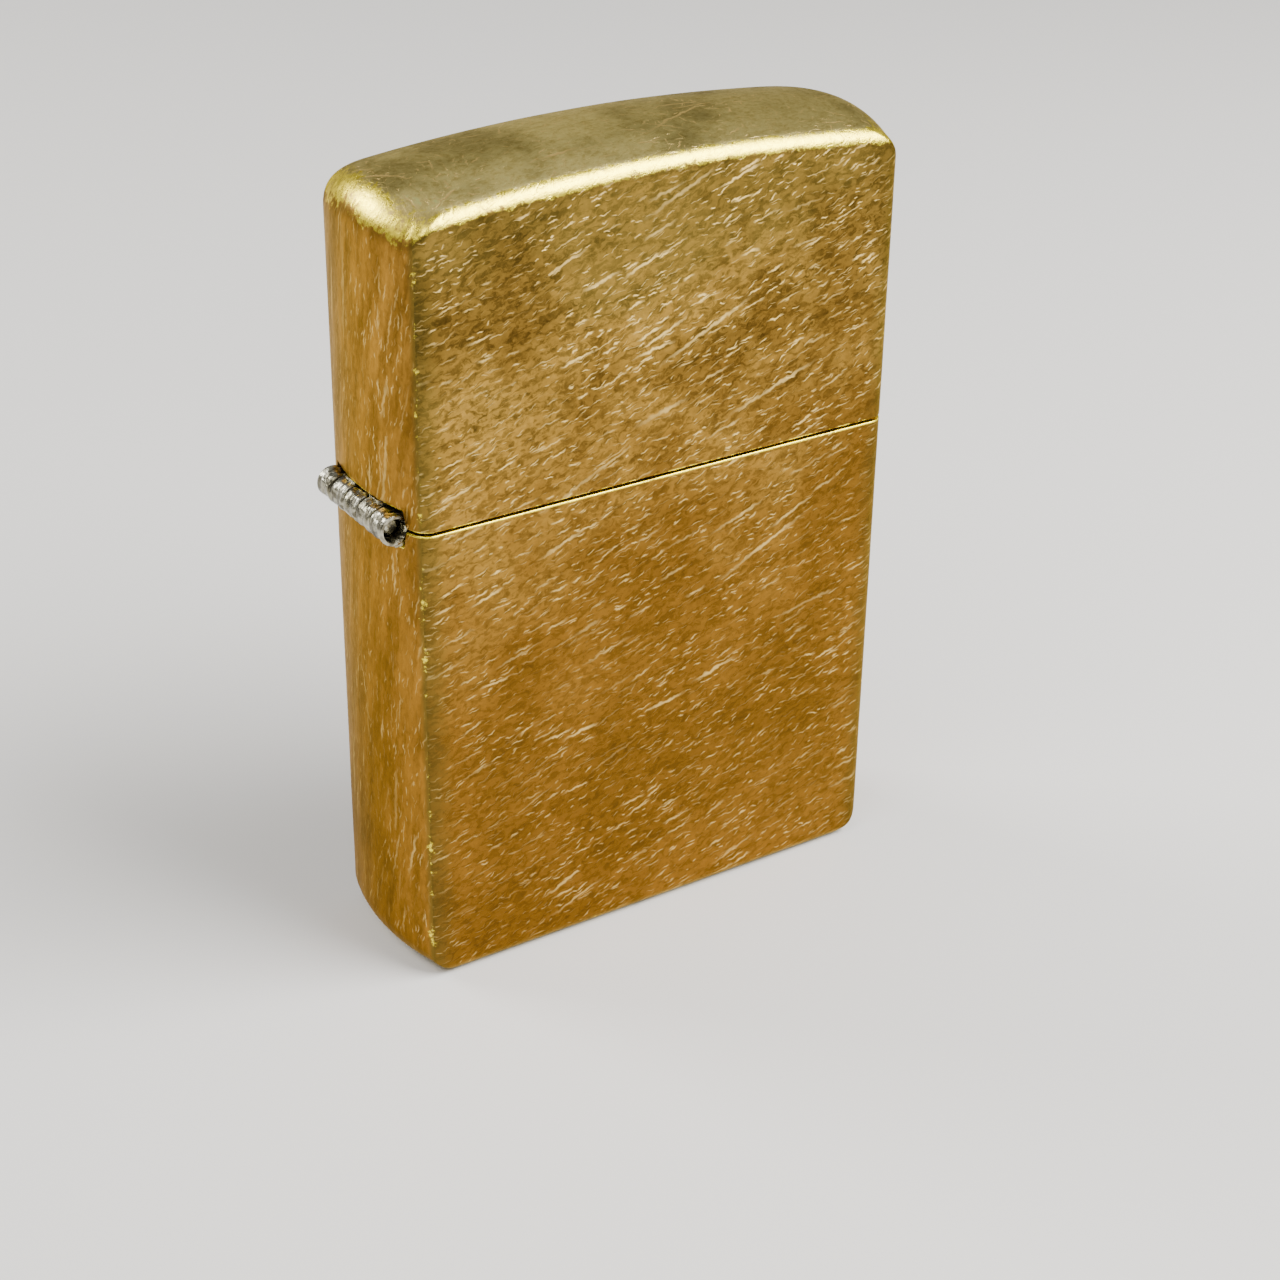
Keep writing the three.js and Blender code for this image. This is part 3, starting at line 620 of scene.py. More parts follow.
def shell_rings(loop, end_level, up, groove=lambda d: 0.0):
    """Rings of one drawn cup, from the middle of its outer end round the rim to the middle of its inner end.

    up is +1 for the lid, whose end is on top, and -1 for the case. end_level(x, y) is the outer end's height,
    and groove(d) how far it is pressed in at d from the edge of its flat.
    Each ring is a dictionary of its points and surface values.
    """
    x, y, nx, ny, _ = loop.T
    rings = []

    def add(px, py, pz, wear=0.0, cap=0.0, inside=0.0):
        rings.append({
            "points": np.column_stack([px, py, pz]),
            "wear": np.broadcast_to(wear, x.shape),
            "crown": np.broadcast_to(cap, x.shape),
            "inside": np.broadcast_to(inside, x.shape),
        })

    edge = FACE_EDGE + (SIDE_CORNER - FACE_EDGE) * nx**2
    rim = SPLIT + up * (SPLIT_GAP / 2 + notch_rise(x, y))
    upright = 1 - np.abs(nx**2 - ny**2)

    # outer end and its rounded edge
    lean_x, lean_y = SIDE_CORNER / HALF_WIDTH, FACE_EDGE / HALF_DEPTH
    flat_x, flat_y = HALF_WIDTH - SIDE_CORNER, HALF_DEPTH - FACE_EDGE
    steps = np.concatenate([np.linspace(0, 2.6, 40), np.linspace(2.8, flat_y, 14)])
    for d in steps[:0:-1]:
        px = x * (1 - lean_x) * (1 - d / flat_x)
        py = y * (1 - lean_y) * max(0.0, 1 - d / flat_y)
        add(px, py, end_level(px, py) + groove(d), 0.0, 1.0)
    for phi in np.linspace(math.pi / 2, 0, 15):
        c, s = math.cos(phi), math.sin(phi)
        px, py = x * (1 - lean_x * (1 - c)), y * (1 - lean_y * (1 - c))
        pz = end_level(px, py) - up * edge * (1 - s)
        peak = math.sin(2 * phi) if 0 < phi < math.pi / 2 else 0.0
        wear = peak ** 0.7 * (1 - 0.2 * nx**2) * (1.0 if up > 0 else 0.4)
        add(px, py, pz, wear, s**3)
    # outer side
    start = end_level(x, y) - up * edge
    stop = rim + up * RIM_BEVEL
    for t in np.linspace(0, 1, 34)[1:-1]:
        add(x, y, start + (stop - start) * t, 0.5 * upright**0.8)
    add(x, y, stop + up * RIM_SHOULDER)
    # rim
    for phi in np.linspace(0, math.pi / 2, 5):
        d, rise = RIM_BEVEL * (1 - math.cos(phi)), RIM_BEVEL * (1 - math.sin(phi))
        add(x - nx * d, y - ny * d, rim + up * rise, 0.6 if up > 0 else 0.9)
    for phi in np.linspace(math.pi / 2, 0, 4):
        d = WALL - INNER_BEVEL * (1 - math.cos(phi))
        rise = INNER_BEVEL * (1 - math.sin(phi))
        add(x - nx * d, y - ny * d, rim + up * rise, 0.5, 0.0, 0.6)
    # inner side, corner and end
    ix, iy = x - nx * WALL, y - ny * WALL
    inner_edge = edge - 0.5 * WALL
    start = end_level(ix, iy) - up * (WALL + inner_edge)
    stop = rim + up * INNER_BEVEL
    for t in np.linspace(1, 0, 16)[1:]:
        add(ix, iy, start + (stop - start) * t, 0.0, 0.0, 1.0)
    for phi in np.linspace(0, math.pi / 2, 7)[1:]:
        c, s = math.cos(phi), math.sin(phi)
        px, py = ix * (1 - lean_x * (1 - c)), iy * (1 - lean_y * (1 - c))
        add(px, py, end_level(px, py) - up * (WALL + inner_edge * (1 - s)), 0.0, 0.0, 1.0)
    inner_flat = (iy * (1 - lean_y)).max()
    base_x, base_y = ix * (1 - lean_x), iy * (1 - lean_y)
    for d in np.linspace(0, inner_flat, 9)[1:]:
        qx = base_x * (1 - d / base_x.max())
        qy = base_y * (1 - d / inner_flat)
        add(qx, qy, end_level(qx, qy) - up * WALL, 0.0, 0.0, 1.0)
    return rings


def shell_mesh(body, node, rings, loop, around):
    """Closes the rings into one surface with its UV map and surface values."""
    count = len(loop)
    bm = bmesh.new()
    uv = bm.loops.layers.uv.new("surface_mm")
    layers = {key: bm.verts.layers.float.new(key) for key in ("wear", "crown", "inside", "narrow")}
    narrow = loop[:, 2] ** 2
    grid = []
    for ring in rings:
        row = []
        for i, point in enumerate(ring["points"]):
            vert = bm.verts.new(point)
            for key in ("wear", "crown", "inside"):
                vert[layers[key]] = float(ring[key][i])
            vert[layers["narrow"]] = narrow[i]
            row.append(vert)
        grid.append(row)
    distance = np.append(loop[:, 4], around)
    for j in range(len(rings) - 1):
        flat_end = min(rings[j]["crown"].mean(), rings[j + 1]["crown"].mean()) > 0.3
        for i in range(count):
            k = (i + 1) % count
            corners = ((j, i, i), (j, k, i + 1), (j + 1, k, i + 1), (j + 1, i, i))
            face = bm.faces.new([grid[a][b] for a, b, _ in corners])
            for corner, (a, b, u) in zip(face.loops, corners):
                point = grid[a][b].co
                corner[uv].uv = (point.x + UV_APART, point.y) if flat_end else (distance[u], point.z)
    bmesh.ops.remove_doubles(bm, verts=bm.verts, dist=1e-4)
    bmesh.ops.dissolve_degenerate(bm, edges=bm.edges, dist=1e-5)
    bm.normal_update()
    if bm.calc_volume(signed=True) < 0:
        bmesh.ops.reverse_faces(bm, faces=bm.faces)
        bm.normal_update()
    # slight unevenness of the drawn sheet, always inward so that the outline keeps its size
    moves = []
    for vert in bm.verts:
        outer = 1 - vert[layers["inside"]]
        lump = 0.5 + 0.5 * noise.noise(vert.co * 0.16) + 0.35 * noise.noise(vert.co * 0.45)
        moves.append(vert.normal * (-SHEET_WAVE * max(0.0, lump) * outer))
    for vert, move in zip(bm.verts, moves):
        if vert.co.z > FLAT_BASE:
            vert.co += move
    finish_mesh(body, bm, "case_brass", body, node=node)


def top_level(x, y):
    return HEIGHT - TOP_DOME * (x / HALF_WIDTH) ** 2 - TOP_CROWN * (y / HALF_DEPTH) ** 2


def base_level(x, y):
    return np.zeros_like(x)


def base_groove(d):
    """Depth of the plain groove pressed into the base, at d in from the flat's edge."""
    t = abs(d - 1.3) / 0.32
    return 0.22 * max(0.0, 1 - t * t) ** 1.5 if t < 1 else 0.0


def make_case_and_lid():
    loop, around = plan_loop(HALF_WIDTH, HALF_DEPTH, SIDE_BULGE, UPRIGHT_EDGE)
    shell_mesh("lid", "lid_shell", shell_rings(loop, top_level, 1), loop, around)
    shell_mesh("case", "case_bottom", shell_rings(loop, base_level, -1, base_groove), loop, around)


make_case_and_lid()


# ---------------------------------------------------------------- shaping
def fillet(points, radius, steps=3, closed=False):
    """A polyline with its corners rounded."""
    made = []
    for i, point in enumerate(points):
        if not closed and i in (0, len(points) - 1):
            made.append(tuple(point))
            continue
        here = np.array(point, float)
        before = np.array(points[i - 1], float) - here
        after = np.array(points[(i + 1) % len(points)], float) - here
        reach = min(radius, 0.45 * np.linalg.norm(before), 0.45 * np.linalg.norm(after))
        start = here + before / np.linalg.norm(before) * reach
        end = here + after / np.linalg.norm(after) * reach
        for t in np.linspace(0, 1, steps + 1):
            made.append(tuple((1 - t) ** 2 * start + 2 * t * (1 - t) * here + t**2 * end))
    return made


def arc_points(centre, radius, start, stop, steps=16):
    """start and stop are in degrees."""
    angles = np.radians(np.linspace(start, stop, steps))
    return [(centre[0] + radius * math.cos(a), centre[1] + radius * math.sin(a)) for a in angles]


def loft(rings, closed=False):
    """A surface through rings of points. closed joins the last ring to the first; otherwise both ends are filled."""
    bm = bmesh.new()
    grid = [[bm.verts.new(point) for point in ring] for ring in rings]
    count = len(grid[0])
    pairs = list(zip(grid, grid[1:] + grid[:1])) if closed else list(zip(grid, grid[1:]))
    for low, high in pairs:
        for i in range(count):
            k = (i + 1) % count
            bm.faces.new((low[i], low[k], high[k], high[i]))
    if not closed:
        for ring in (grid[0], grid[-1]):
            if (ring[0].co - ring[count // 2].co).length > 1e-3:
                bm.faces.new(ring)
    bmesh.ops.remove_doubles(bm, verts=bm.verts, dist=1e-4)
    bmesh.ops.dissolve_degenerate(bm, edges=bm.edges, dist=1e-6)
    bmesh.ops.recalc_face_normals(bm, faces=bm.faces)
    return bm


def turned(profile, origin, axis="Z", sides=64, closed=False, shape=None):
    """A turned solid. Profile rows are (radius, height); shape(radius, height, angle) may change a radius."""
    rings = []
    for radius, height in profile:
        ring = []
        for i in range(sides):
            angle = TURN * i / sides
            r = shape(radius, height, angle) if shape else radius
            u, v = r * math.cos(angle), r * math.sin(angle)
            local = (u, v, height) if axis == "Z" else (u, height, v)
            ring.append(Vector(origin) + Vector(local))
        rings.append(ring)
    return loft(rings, closed)


def prism(outline, start, stop, axis="Z"):
    """An outline in X and Y raised along Z, or in X and Z raised along Y."""
    rings = []
    for level in (start, stop):
        rings.append([(u, v, level) if axis == "Z" else (u, level, v) for u, v in outline])
    return loft(rings)


def block(low, high):
    outline = [(low[0], low[1]), (high[0], low[1]), (high[0], high[1]), (low[0], high[1])]
    return prism(outline, low[2], high[2])


def rod(centre, radius, start, stop, axis="Y", sides=48):
    """A round bar between two levels along its axis. centre is its place across the axis."""
    return prism(arc_points(centre, radius, 0, 360 * (1 - 1 / sides), sides), start, stop, axis)


def merge(base, *others):
    """Adds other bmeshes to base, using them up."""
    for other in others:
        data = bpy.data.meshes.new("part")
        other.to_mesh(data)
        other.free()
        base.from_mesh(data)
        bpy.data.meshes.remove(data)
    return base


def carve(base, cutters=(), joined=(), bevel=0.06, segments=2, voxel=0.0):
    """base with others joined on and cutters taken away, then its sharp edges rounded, or remeshed evenly."""
    tools = []

    def hold(bm):
        bmesh.ops.recalc_face_normals(bm, faces=bm.faces)
        tools.append(new_object("tool", bm))
        return tools[-1]

    main = hold(base)
    for operation, group in (("UNION", joined), ("DIFFERENCE", cutters)):
        for bm in group:
            step = main.modifiers.new(operation, "BOOLEAN")
            step.operation, step.object, step.solver = operation, hold(bm), "EXACT"
    if bevel:
        rounding = main.modifiers.new("rounding", "BEVEL")
        rounding.width, rounding.segments = bevel, segments
        rounding.limit_method, rounding.angle_limit = "ANGLE", math.radians(35)
    if voxel:
        even = main.modifiers.new("even", "REMESH")
        even.mode, even.voxel_size = "VOXEL", voxel
    made = evaluated(main)
    discard(*tools)
    return made


def roughen(bm, depth, scale, detail=3, seed=0.0):
    """Moves every point inwards by up to depth, so that a piece stays inside its own outline."""
    bm.normal_update()
    shift = Vector((seed, 0.37 * seed, 0.71 * seed))
    moves = []
    for vert in bm.verts:
        level = 0.5 + 0.5 * noise.fractal(vert.co * scale + shift, 1.0, 2.0, detail)
        moves.append(vert.normal * (-depth * min(1.0, max(0.0, level))))
    for vert, move in zip(bm.verts, moves):
        vert.co += move
    return bm


# ---------------------------------------------------------------- geometry nodes
def paint(tree, geometry, material, result):
    """Ends a geometry tree: every instance made real, and its material set."""
    real = field(tree, "GeometryNodeRealizeInstances", {"Geometry": geometry})
    give(result, {"Geometry": field(tree, "GeometryNodeSetMaterial", {"Geometry": real, "Material": material})})


def make_tube_tree():
    """A tube round each line of a mesh's edges, with an uneven thickness."""
    tree, given, result = new_group("tube_along_lines", {
        "Geometry": ("Geometry", None), "Radius": ("Float", 0.3), "Sides": ("Int", 12), "Unevenness": ("Float", 0.0),
        "Fineness": ("Float", 3.0), "Material": ("Material", None)}, {"Geometry": "Geometry"}, "GeometryNodeTree")
    chains = field(tree, "GeometryNodeMeshToCurve", {"Mesh": given["Geometry"]})
    texture = field(tree, "ShaderNodeTexNoise", {"Scale": given["Fineness"], "Detail": 2.0}, "Fac")
    ring = field(tree, "GeometryNodeCurvePrimitiveCircle", {"Resolution": given["Sides"], "Radius": given["Radius"]})
    tube = field(tree, "GeometryNodeCurveToMesh", {
        "Curve": chains, "Profile Curve": ring, "Scale": 1.0 - texture * given["Unevenness"], "Fill Caps": True})
    paint(tree, tube, given["Material"], result)
    return tree


def make_teeth_tree():
    """Rows of small pointed teeth standing on a wheel's rim, each row half a step round from the last."""
    tree, given, result = new_group("wheel_teeth", {
        "Geometry": ("Geometry", None), "Teeth": ("Int", 40), "Rows": ("Int", 7), "Radius": ("Float", 3.75),
        "Width": ("Float", 3.6), "Tooth": ("Float", 0.3), "Material": ("Material", None),
    }, {"Geometry": "Geometry"}, "GeometryNodeTree")
    step = TURN / given["Teeth"]
    sheet = field(tree, "GeometryNodeMeshGrid", {
        "Size X": TURN - step, "Size Y": given["Width"], "Vertices X": given["Teeth"], "Vertices Y": given["Rows"]})
    place = field(tree, "GeometryNodeInputPosition")
    turn, level, _ = place.split()
    row = ((level + given["Width"]) / (given["Width"] / (given["Rows"] - 1.0))).math("ROUND")
    angle = turn + row.math("MODULO", 2.0) * (step * 0.5)
    out = field(tree, "ShaderNodeCombineXYZ", {0: angle.math("COSINE"), 2: angle.math("SINE")})
    spot = field(tree, "ShaderNodeVectorMath", {0: out, "Scale": given["Radius"]}, operation="SCALE")
    spot = spot.vector("ADD", field(tree, "ShaderNodeCombineXYZ", {1: level}))
    rim = field(tree, "GeometryNodeSetPosition", {"Geometry": sheet, "Position": spot})
    outward = place.vector("MULTIPLY", (1, 0, 1)).vector("NORMALIZE")
    marked = field(tree, "GeometryNodeStoreNamedAttribute", {"Geometry": rim, "Name": "outward", "Value": outward},
                   data_type="FLOAT_VECTOR", domain="POINT")
    outward = field(tree, "GeometryNodeInputNamedAttribute", {"Name": "outward"}, data_type="FLOAT_VECTOR")
    aim = field(tree, "FunctionNodeAlignRotationToVector", {"Vector": outward}, axis="Z")
    tooth = field(tree, "GeometryNodeMeshCone", {
        "Vertices": 4, "Radius Top": 0.03, "Radius Bottom": given["Tooth"], "Depth": given["Tooth"] * 1.1})
    teeth = field(tree, "GeometryNodeInstanceOnPoints", {"Points": marked, "Instance": tooth, "Rotation": aim})
    both = tree.nodes.new("GeometryNodeJoinGeometry")
    for geometry in (given["Geometry"], teeth):
        tree.links.new(geometry.socket, both.inputs[0])
    paint(tree, both.outputs[0], given["Material"], result)
    return tree


def grow(base, tree, **settings):
    """The mesh that a geometry tree makes of a bmesh, as a bmesh."""
    host = new_object("seed", base)
    step = host.modifiers.new("grow", "NODES")
    step.node_group = tree
    for item in tree.interface.items_tree:
        if item.in_out == "INPUT" and item.name in settings:
            step[item.identifier] = settings[item.name]
    made = evaluated(host)
    discard(host)
    return made


def lines(paths):
    """A bmesh of edges only, one chain for each path."""
    bm = bmesh.new()
    for path in paths:
        verts = [bm.verts.new(point) for point in path]
        for a, b in zip(verts, verts[1:]):
            bm.edges.new((a, b))
    return bm


TUBE = make_tube_tree()
TEETH = make_teeth_tree()

# ---------------------------------------------------------------- hinge
KNUCKLE_COUNT = 5
KNUCKLE_PITCH = 1.8
KNUCKLE_GAP = 0.12
PIN_HOLE = 0.68
PIN_FLARE = 0.84
LEAF_THICKNESS = 0.4
LEAF_START = 1.0
LEAF_END = 10.5
LEAF_HALF = 4.2
SIDE_CURVE = (HALF_DEPTH**2 + SIDE_BULGE**2) / (2 * SIDE_BULGE)
LEAF_CURVE = SIDE_CURVE - WALL - 0.075
LEAF_MID_X = SIDE_CURVE - HALF_WIDTH
Z_TO_X = Matrix(((0, 0, 1, 0), (1, 0, 0, 0), (0, 1, 0, 0), (0, 0, 0, 1)))


def knuckle(index):
    """One rolled, lumpy knuckle of the barrel, open at both ends."""
    start = -BARREL_HALF + index * KNUCKLE_PITCH + KNUCKLE_GAP / 2
    stop = start + KNUCKLE_PITCH - KNUCKLE_GAP
    rounds = [0.3, 0.3]
    if index == 0:
        rounds[0] = 0.14
    if index == KNUCKLE_COUNT - 1:
        rounds[1] = 0.14

    def rounded_end(end, size, way):
        return [(BARREL_RADIUS - 0.7 * size * (1 - math.sin(t)), end + way * size * (1 - math.cos(t)))
                for t in np.linspace(0, math.pi / 2, 6)]

    near, far = rounded_end(start, rounds[0], 1), rounded_end(stop, rounds[1], -1)
    outer = near + [(BARREL_RADIUS, y) for y in np.linspace(start + 0.38, stop - 0.38, 8)] + far[::-1]
    inner = [(PIN_FLARE, stop), (PIN_HOLE, stop - 0.35), (PIN_HOLE, start + 0.35), (PIN_FLARE, start)]

    def lumpy(radius, height, angle):
        if radius <= PIN_FLARE:
            return radius
        inward = min(1.0, min(height - start, stop - height) / 0.35)
        spot = Vector((math.cos(angle), height * 0.9, math.sin(angle))) * 1.7 + Vector((index * 3.1, 0, 0))
        fine = noise.fractal(spot * 2.6, 1.0, 2.0, 2)
        waist = 0.09 * math.exp(-((height - start - 0.84) / 0.16) ** 2)
        dents = 0.1 * max(0.0, 0.5 + noise.noise(spot)) + 0.015 * max(0.0, 0.3 + fine)
        return radius - inward * dents - waist

    return turned(outer + inner, (PIN.x, 0, PIN.z), "Y", 72, closed=True, shape=lumpy)


def hinge_leaf(name, body, indices, towards, lip=False):
    """towards is -1 for the leaf in the case and +1 for the leaf in the lid."""
    reach = math.degrees(math.asin(LEAF_HALF / LEAF_CURVE))
    outline = arc_points((LEAF_MID_X, 0), LEAF_CURVE, 180 - reach, 180 + reach, 28)
    outline += arc_points((LEAF_MID_X, 0), LEAF_CURVE - LEAF_THICKNESS, 180 + reach, 180 - reach, 28)
    ends = sorted(PIN.z + towards * level for level in (LEAF_START, LEAF_END))
    leaf_face = LEAF_MID_X - LEAF_CURVE + LEAF_THICKNESS
    joined = []
    for index in indices:
        start = -BARREL_HALF + index * KNUCKLE_PITCH + KNUCKLE_GAP / 2 + 0.02
        stop = start + KNUCKLE_PITCH - KNUCKLE_GAP - 0.04
        farthest = min(max(abs(start), abs(stop)), LEAF_HALF)
        end = LEAF_MID_X - math.sqrt(LEAF_CURVE**2 - farthest**2) + LEAF_THICKNESS / 2
        levels = sorted(PIN.z + towards * level for level in (0.62, 1.18))
        joined.append(block((PIN.x, start, levels[0]), (end, stop, levels[1])))
    if lip:
        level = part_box("insert_tank")[1].z / MM + 0.3
        outline_lip = fillet(
            [(leaf_face - 0.2, -1.4), (leaf_face + 1.08, -1.4), (leaf_face + 1.08, 1.4), (leaf_face - 0.2, 1.4)],
            0.4, 4, closed=True)
        joined.append(prism(outline_lip, level + 0.01, level + LEAF_THICKNESS - 0.01))
    corners = []
    for side in (-1, 1):
        far = PIN.z + towards * LEAF_END
        corner = block((leaf_face - 2, side * LEAF_HALF - 0.9, far - 0.9),
                       (leaf_face + 2, side * LEAF_HALF + 0.9, far + 0.9))
        round_off = rod((side * (LEAF_HALF - 0.9), far - towards * 0.9), 0.9, leaf_face - 3, leaf_face + 3, "Z")
        bmesh.ops.transform(round_off, matrix=Z_TO_X, verts=round_off.verts)
        corners.append(carve(corner, [round_off], bevel=0))
    welds = []
    for y, level in ((-2.3, 4.0), (2.3, 4.0), (-2.3, 7.6), (2.3, 7.6)):
        ball = bmesh.new()
        bmesh.ops.create_uvsphere(ball, u_segments=28, v_segments=14, radius=0.9)
        face = LEAF_MID_X - math.sqrt((LEAF_CURVE - LEAF_THICKNESS) ** 2 - y**2)
        bmesh.ops.translate(ball, vec=(face + 0.78, y, PIN.z + towards * level), verts=ball.verts)
        welds.append(ball)
    leaf = carve(prism(outline, *ends), cutters=corners + welds, joined=joined, bevel=0.07)
    merge(leaf, *[knuckle(index) for index in indices])
    finish_mesh(name, leaf, "hinge_steel", body, math.radians(32))


def hinge_pin():
    radius = PIN_HOLE - 0.06
    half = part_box("hinge_pin")[1].y / MM
    profile = [(0, -half), (0.36, -half + 0.02), (0.53, -half + 0.06), (radius, -half + 0.16)]
    profile += [(radius, y) for y in np.linspace(-half + 0.5, half - 0.5, 12)]
    profile += [(r, -y) for r, y in reversed(profile[:4])]
    pin = turned(profile, (PIN.x, 0, PIN.z), "Y", 40)
    roughen(pin, 0.012, 2.0)
    finish_mesh("hinge_pin", pin, "hinge_steel", "case")


hinge_leaf("hinge_leaf_bottom", "case", (0, 2, 4), -1)
hinge_leaf("hinge_leaf_lid", "lid", (1, 3), 1, lip=True)
hinge_pin()

# ---------------------------------------------------------------- insert: tank and deck
INSERT_MID = 0.2
INSERT_WIDTH = 35.9
INSERT_DEPTH = 10.4
TANK_WALL = 0.5
TANK_LOW, TANK_HIGH = (corner.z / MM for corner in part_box("insert_tank"))
DECK_HIGH = TANK_HIGH - 0.1
DECK_LOW = DECK_HIGH - 0.6
WICK_X = -1.2
WHEEL_X, WHEEL_Z = pivots["wheel_spin"].x, pivots["wheel_spin"].z
CAM_X, CAM_Z = pivots["cam_pivot"].x, pivots["cam_pivot"].z
SPRING_RIVET_X = -9.7
CAM_RIVET = 0.6
TUBE_BORE = 1.4
TUBE_RADIUS = 1.9


def insert_outline(inset, corner):
    """The insert's outline seen from above, moved in all round, with its outward directions."""
    half = INSERT_WIDTH / 2 - inset
    depth = INSERT_DEPTH / 2 - inset
    curve = SIDE_CURVE - (HALF_WIDTH - half)
    loop, _ = plan_loop(half, depth, curve - math.sqrt(curve**2 - depth**2), corner)
    loop[:, 0] += INSERT_MID
    return loop


def insert_tank():
    loop = insert_outline(0, 1.1)
    profile = [(0.14, TANK_LOW), (0.04, TANK_LOW + 0.04), (0, TANK_LOW + 0.16)]
    profile += [(0, z) for z in np.linspace(TANK_LOW + 1, TANK_HIGH - 1, 24)]
    profile += [(0.0, TANK_HIGH - 0.22), (0.05, TANK_HIGH - 0.08), (0.16, TANK_HIGH)]
    profile += [(0.38, TANK_HIGH), (0.47, TANK_HIGH - 0.04), (TANK_WALL, TANK_HIGH - 0.14)]
    profile += [(TANK_WALL, z) for z in np.linspace(TANK_HIGH - 1, TANK_LOW + 1, 8)]
    profile += [(TANK_WALL, TANK_LOW + 0.14), (0.42, TANK_LOW)]
    rings = []
    for inset, z in profile:
        dent = 0.03 if inset == 0 and TANK_LOW + 1 <= z <= TANK_HIGH - 1 else 0.0
        ring = []
        for x, y, nx, ny, _ in loop:
            wave = dent * (0.5 + 0.5 * noise.noise(Vector((x * 0.13, y * 0.13, z * 0.13))))
            ring.append((x - nx * (inset + wave), y - ny * (inset + wave), z))
        rings.append(ring)
    finish_mesh("insert_tank", loft(rings, closed=True), "insert_steel", "case")


def ear(side):
    width = 1.4
    outline = [(CAM_X - width, DECK_LOW + 0.1), (CAM_X + width, DECK_LOW + 0.1)]
    outline += arc_points((CAM_X, CAM_Z), width, 0, 180, 28)
    return prism(outline, *sorted((side * 1.3, side * 1.8)), axis="Y")


def insert_deck():
    outline = [tuple(row[:2]) for row in insert_outline(TANK_WALL + 0.15, 0.6)]
    slot = fillet([(CAM_X - 3.2, -1.3), (CAM_X + 1.6, -1.3), (CAM_X + 1.6, 1.3), (CAM_X - 3.2, 1.3)], 0.3, 4, True)
    cutters = [
        prism(slot, DECK_LOW - 1, DECK_HIGH + 0.01),
        rod((CAM_X, CAM_Z), CAM_RIVET + 0.1, -4, 4),
        rod((SPRING_RIVET_X, 0), CAM_RIVET, DECK_LOW - 1, DECK_HIGH + 1, "Z"),
        rod((WICK_X, 0), 2.4, DECK_LOW - 1, DECK_HIGH + 1, "Z", 72),
        rod((WHEEL_X, 0), 2.05, DECK_LOW - 1, DECK_HIGH + 1, "Z", 72),
    ]
    deck = carve(prism(outline, DECK_LOW, DECK_HIGH), cutters, [ear(-1), ear(1)], bevel=0.05)
    finish_mesh("insert_deck", deck, "insert_steel", "case", CRISP)


insert_tank()
insert_deck()

# ---------------------------------------------------------------- insert: chimney and wheel
CHIMNEY_LEFT = -8.0
CHIMNEY_RIGHT = 5.6
CHIMNEY_HALF = 4.5
CHIMNEY_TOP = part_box("chimney")[1].z / MM
CHIMNEY_LOW = DECK_HIGH + 0.15
CHIMNEY_WALL = 0.5
CHIMNEY_CORNER = 2.4
VENT_RADIUS = 1.05
VENT_PITCH = 3.7
VENT_ROWS = ((3, 2.9), (2, 6.3), (3, 9.7))     # how many, and how far below the top
WHEEL_RADIUS = 4.1
WHEEL_HALF = 2.05
AXLE_RADIUS = 0.85
LUG_INNER = 2.35
LUG_OUTER = 2.95


def rounded_rectangle(inset, steps=16):
    radius = CHIMNEY_CORNER - inset
    x0, x1, half = CHIMNEY_LEFT + inset, CHIMNEY_RIGHT - inset, CHIMNEY_HALF - inset
    outline = []
    for cx, cy, start in (
        (x1 - radius, half - radius, 0),
        (x0 + radius, half - radius, 90),
        (x0 + radius, -half + radius, 180),
        (x1 - radius, -half + radius, 270),
    ):
        outline += arc_points((cx, cy), radius, start, start + 90, steps)
    return outline


def chimney_lug(side):
    joint = CHIMNEY_RIGHT - 0.4
    outline = fillet([(joint, CHIMNEY_LOW), (WHEEL_X + 1.5, CHIMNEY_LOW), (WHEEL_X + 2, WHEEL_Z)], 0.6, 4)
    outline += arc_points((WHEEL_X, WHEEL_Z), 2.0, 4, 108, 28) + [(joint, WHEEL_Z + 4.2)]
    return prism(outline, *sorted((side * LUG_INNER, side * LUG_OUTER)), axis="Y")


def chimney():
    rings = []
    profile = [(0.0, CHIMNEY_LOW)] + [(0.0, z) for z in np.linspace(CHIMNEY_LOW + 1, CHIMNEY_TOP - 0.3, 10)]
    profile += [(0.03, CHIMNEY_TOP - 0.12), (0.12, CHIMNEY_TOP - 0.02), (0.25, CHIMNEY_TOP)]
    profile += [(0.38, CHIMNEY_TOP - 0.02), (0.47, CHIMNEY_TOP - 0.12), (CHIMNEY_WALL, CHIMNEY_TOP - 0.3)]
    profile += [(CHIMNEY_WALL, CHIMNEY_LOW)]
    for inset, z in profile:
        rings.append([(x, y, z) for x, y in rounded_rectangle(inset)])
    cutters = [
        block((CHIMNEY_RIGHT - 1, -1.9, 39), (CHIMNEY_RIGHT + 0.6, 1.9, 46.8)),
        rod((WHEEL_X, WHEEL_Z), AXLE_RADIUS + 0.1, -CHIMNEY_HALF, CHIMNEY_HALF),
    ]
    for count, drop in VENT_ROWS:
        for i in range(count):
            x = WICK_X + (i - (count - 1) / 2) * VENT_PITCH
            z = CHIMNEY_TOP - drop
            flare = [(VENT_RADIUS, 4.3), (VENT_RADIUS + 0.03, 4.4), (VENT_RADIUS + 0.2, 4.6), (0, 4.6)]
            punch = [(r, -y) for r, y in reversed(flare)] + flare
            cutters.append(turned(punch, (x, 0, z), "Y", 56))
    made = carve(loft(rings, closed=True), cutters, [chimney_lug(-1), chimney_lug(1)], bevel=0.05)
    finish_mesh("chimney", made, "insert_steel", "case", CRISP)


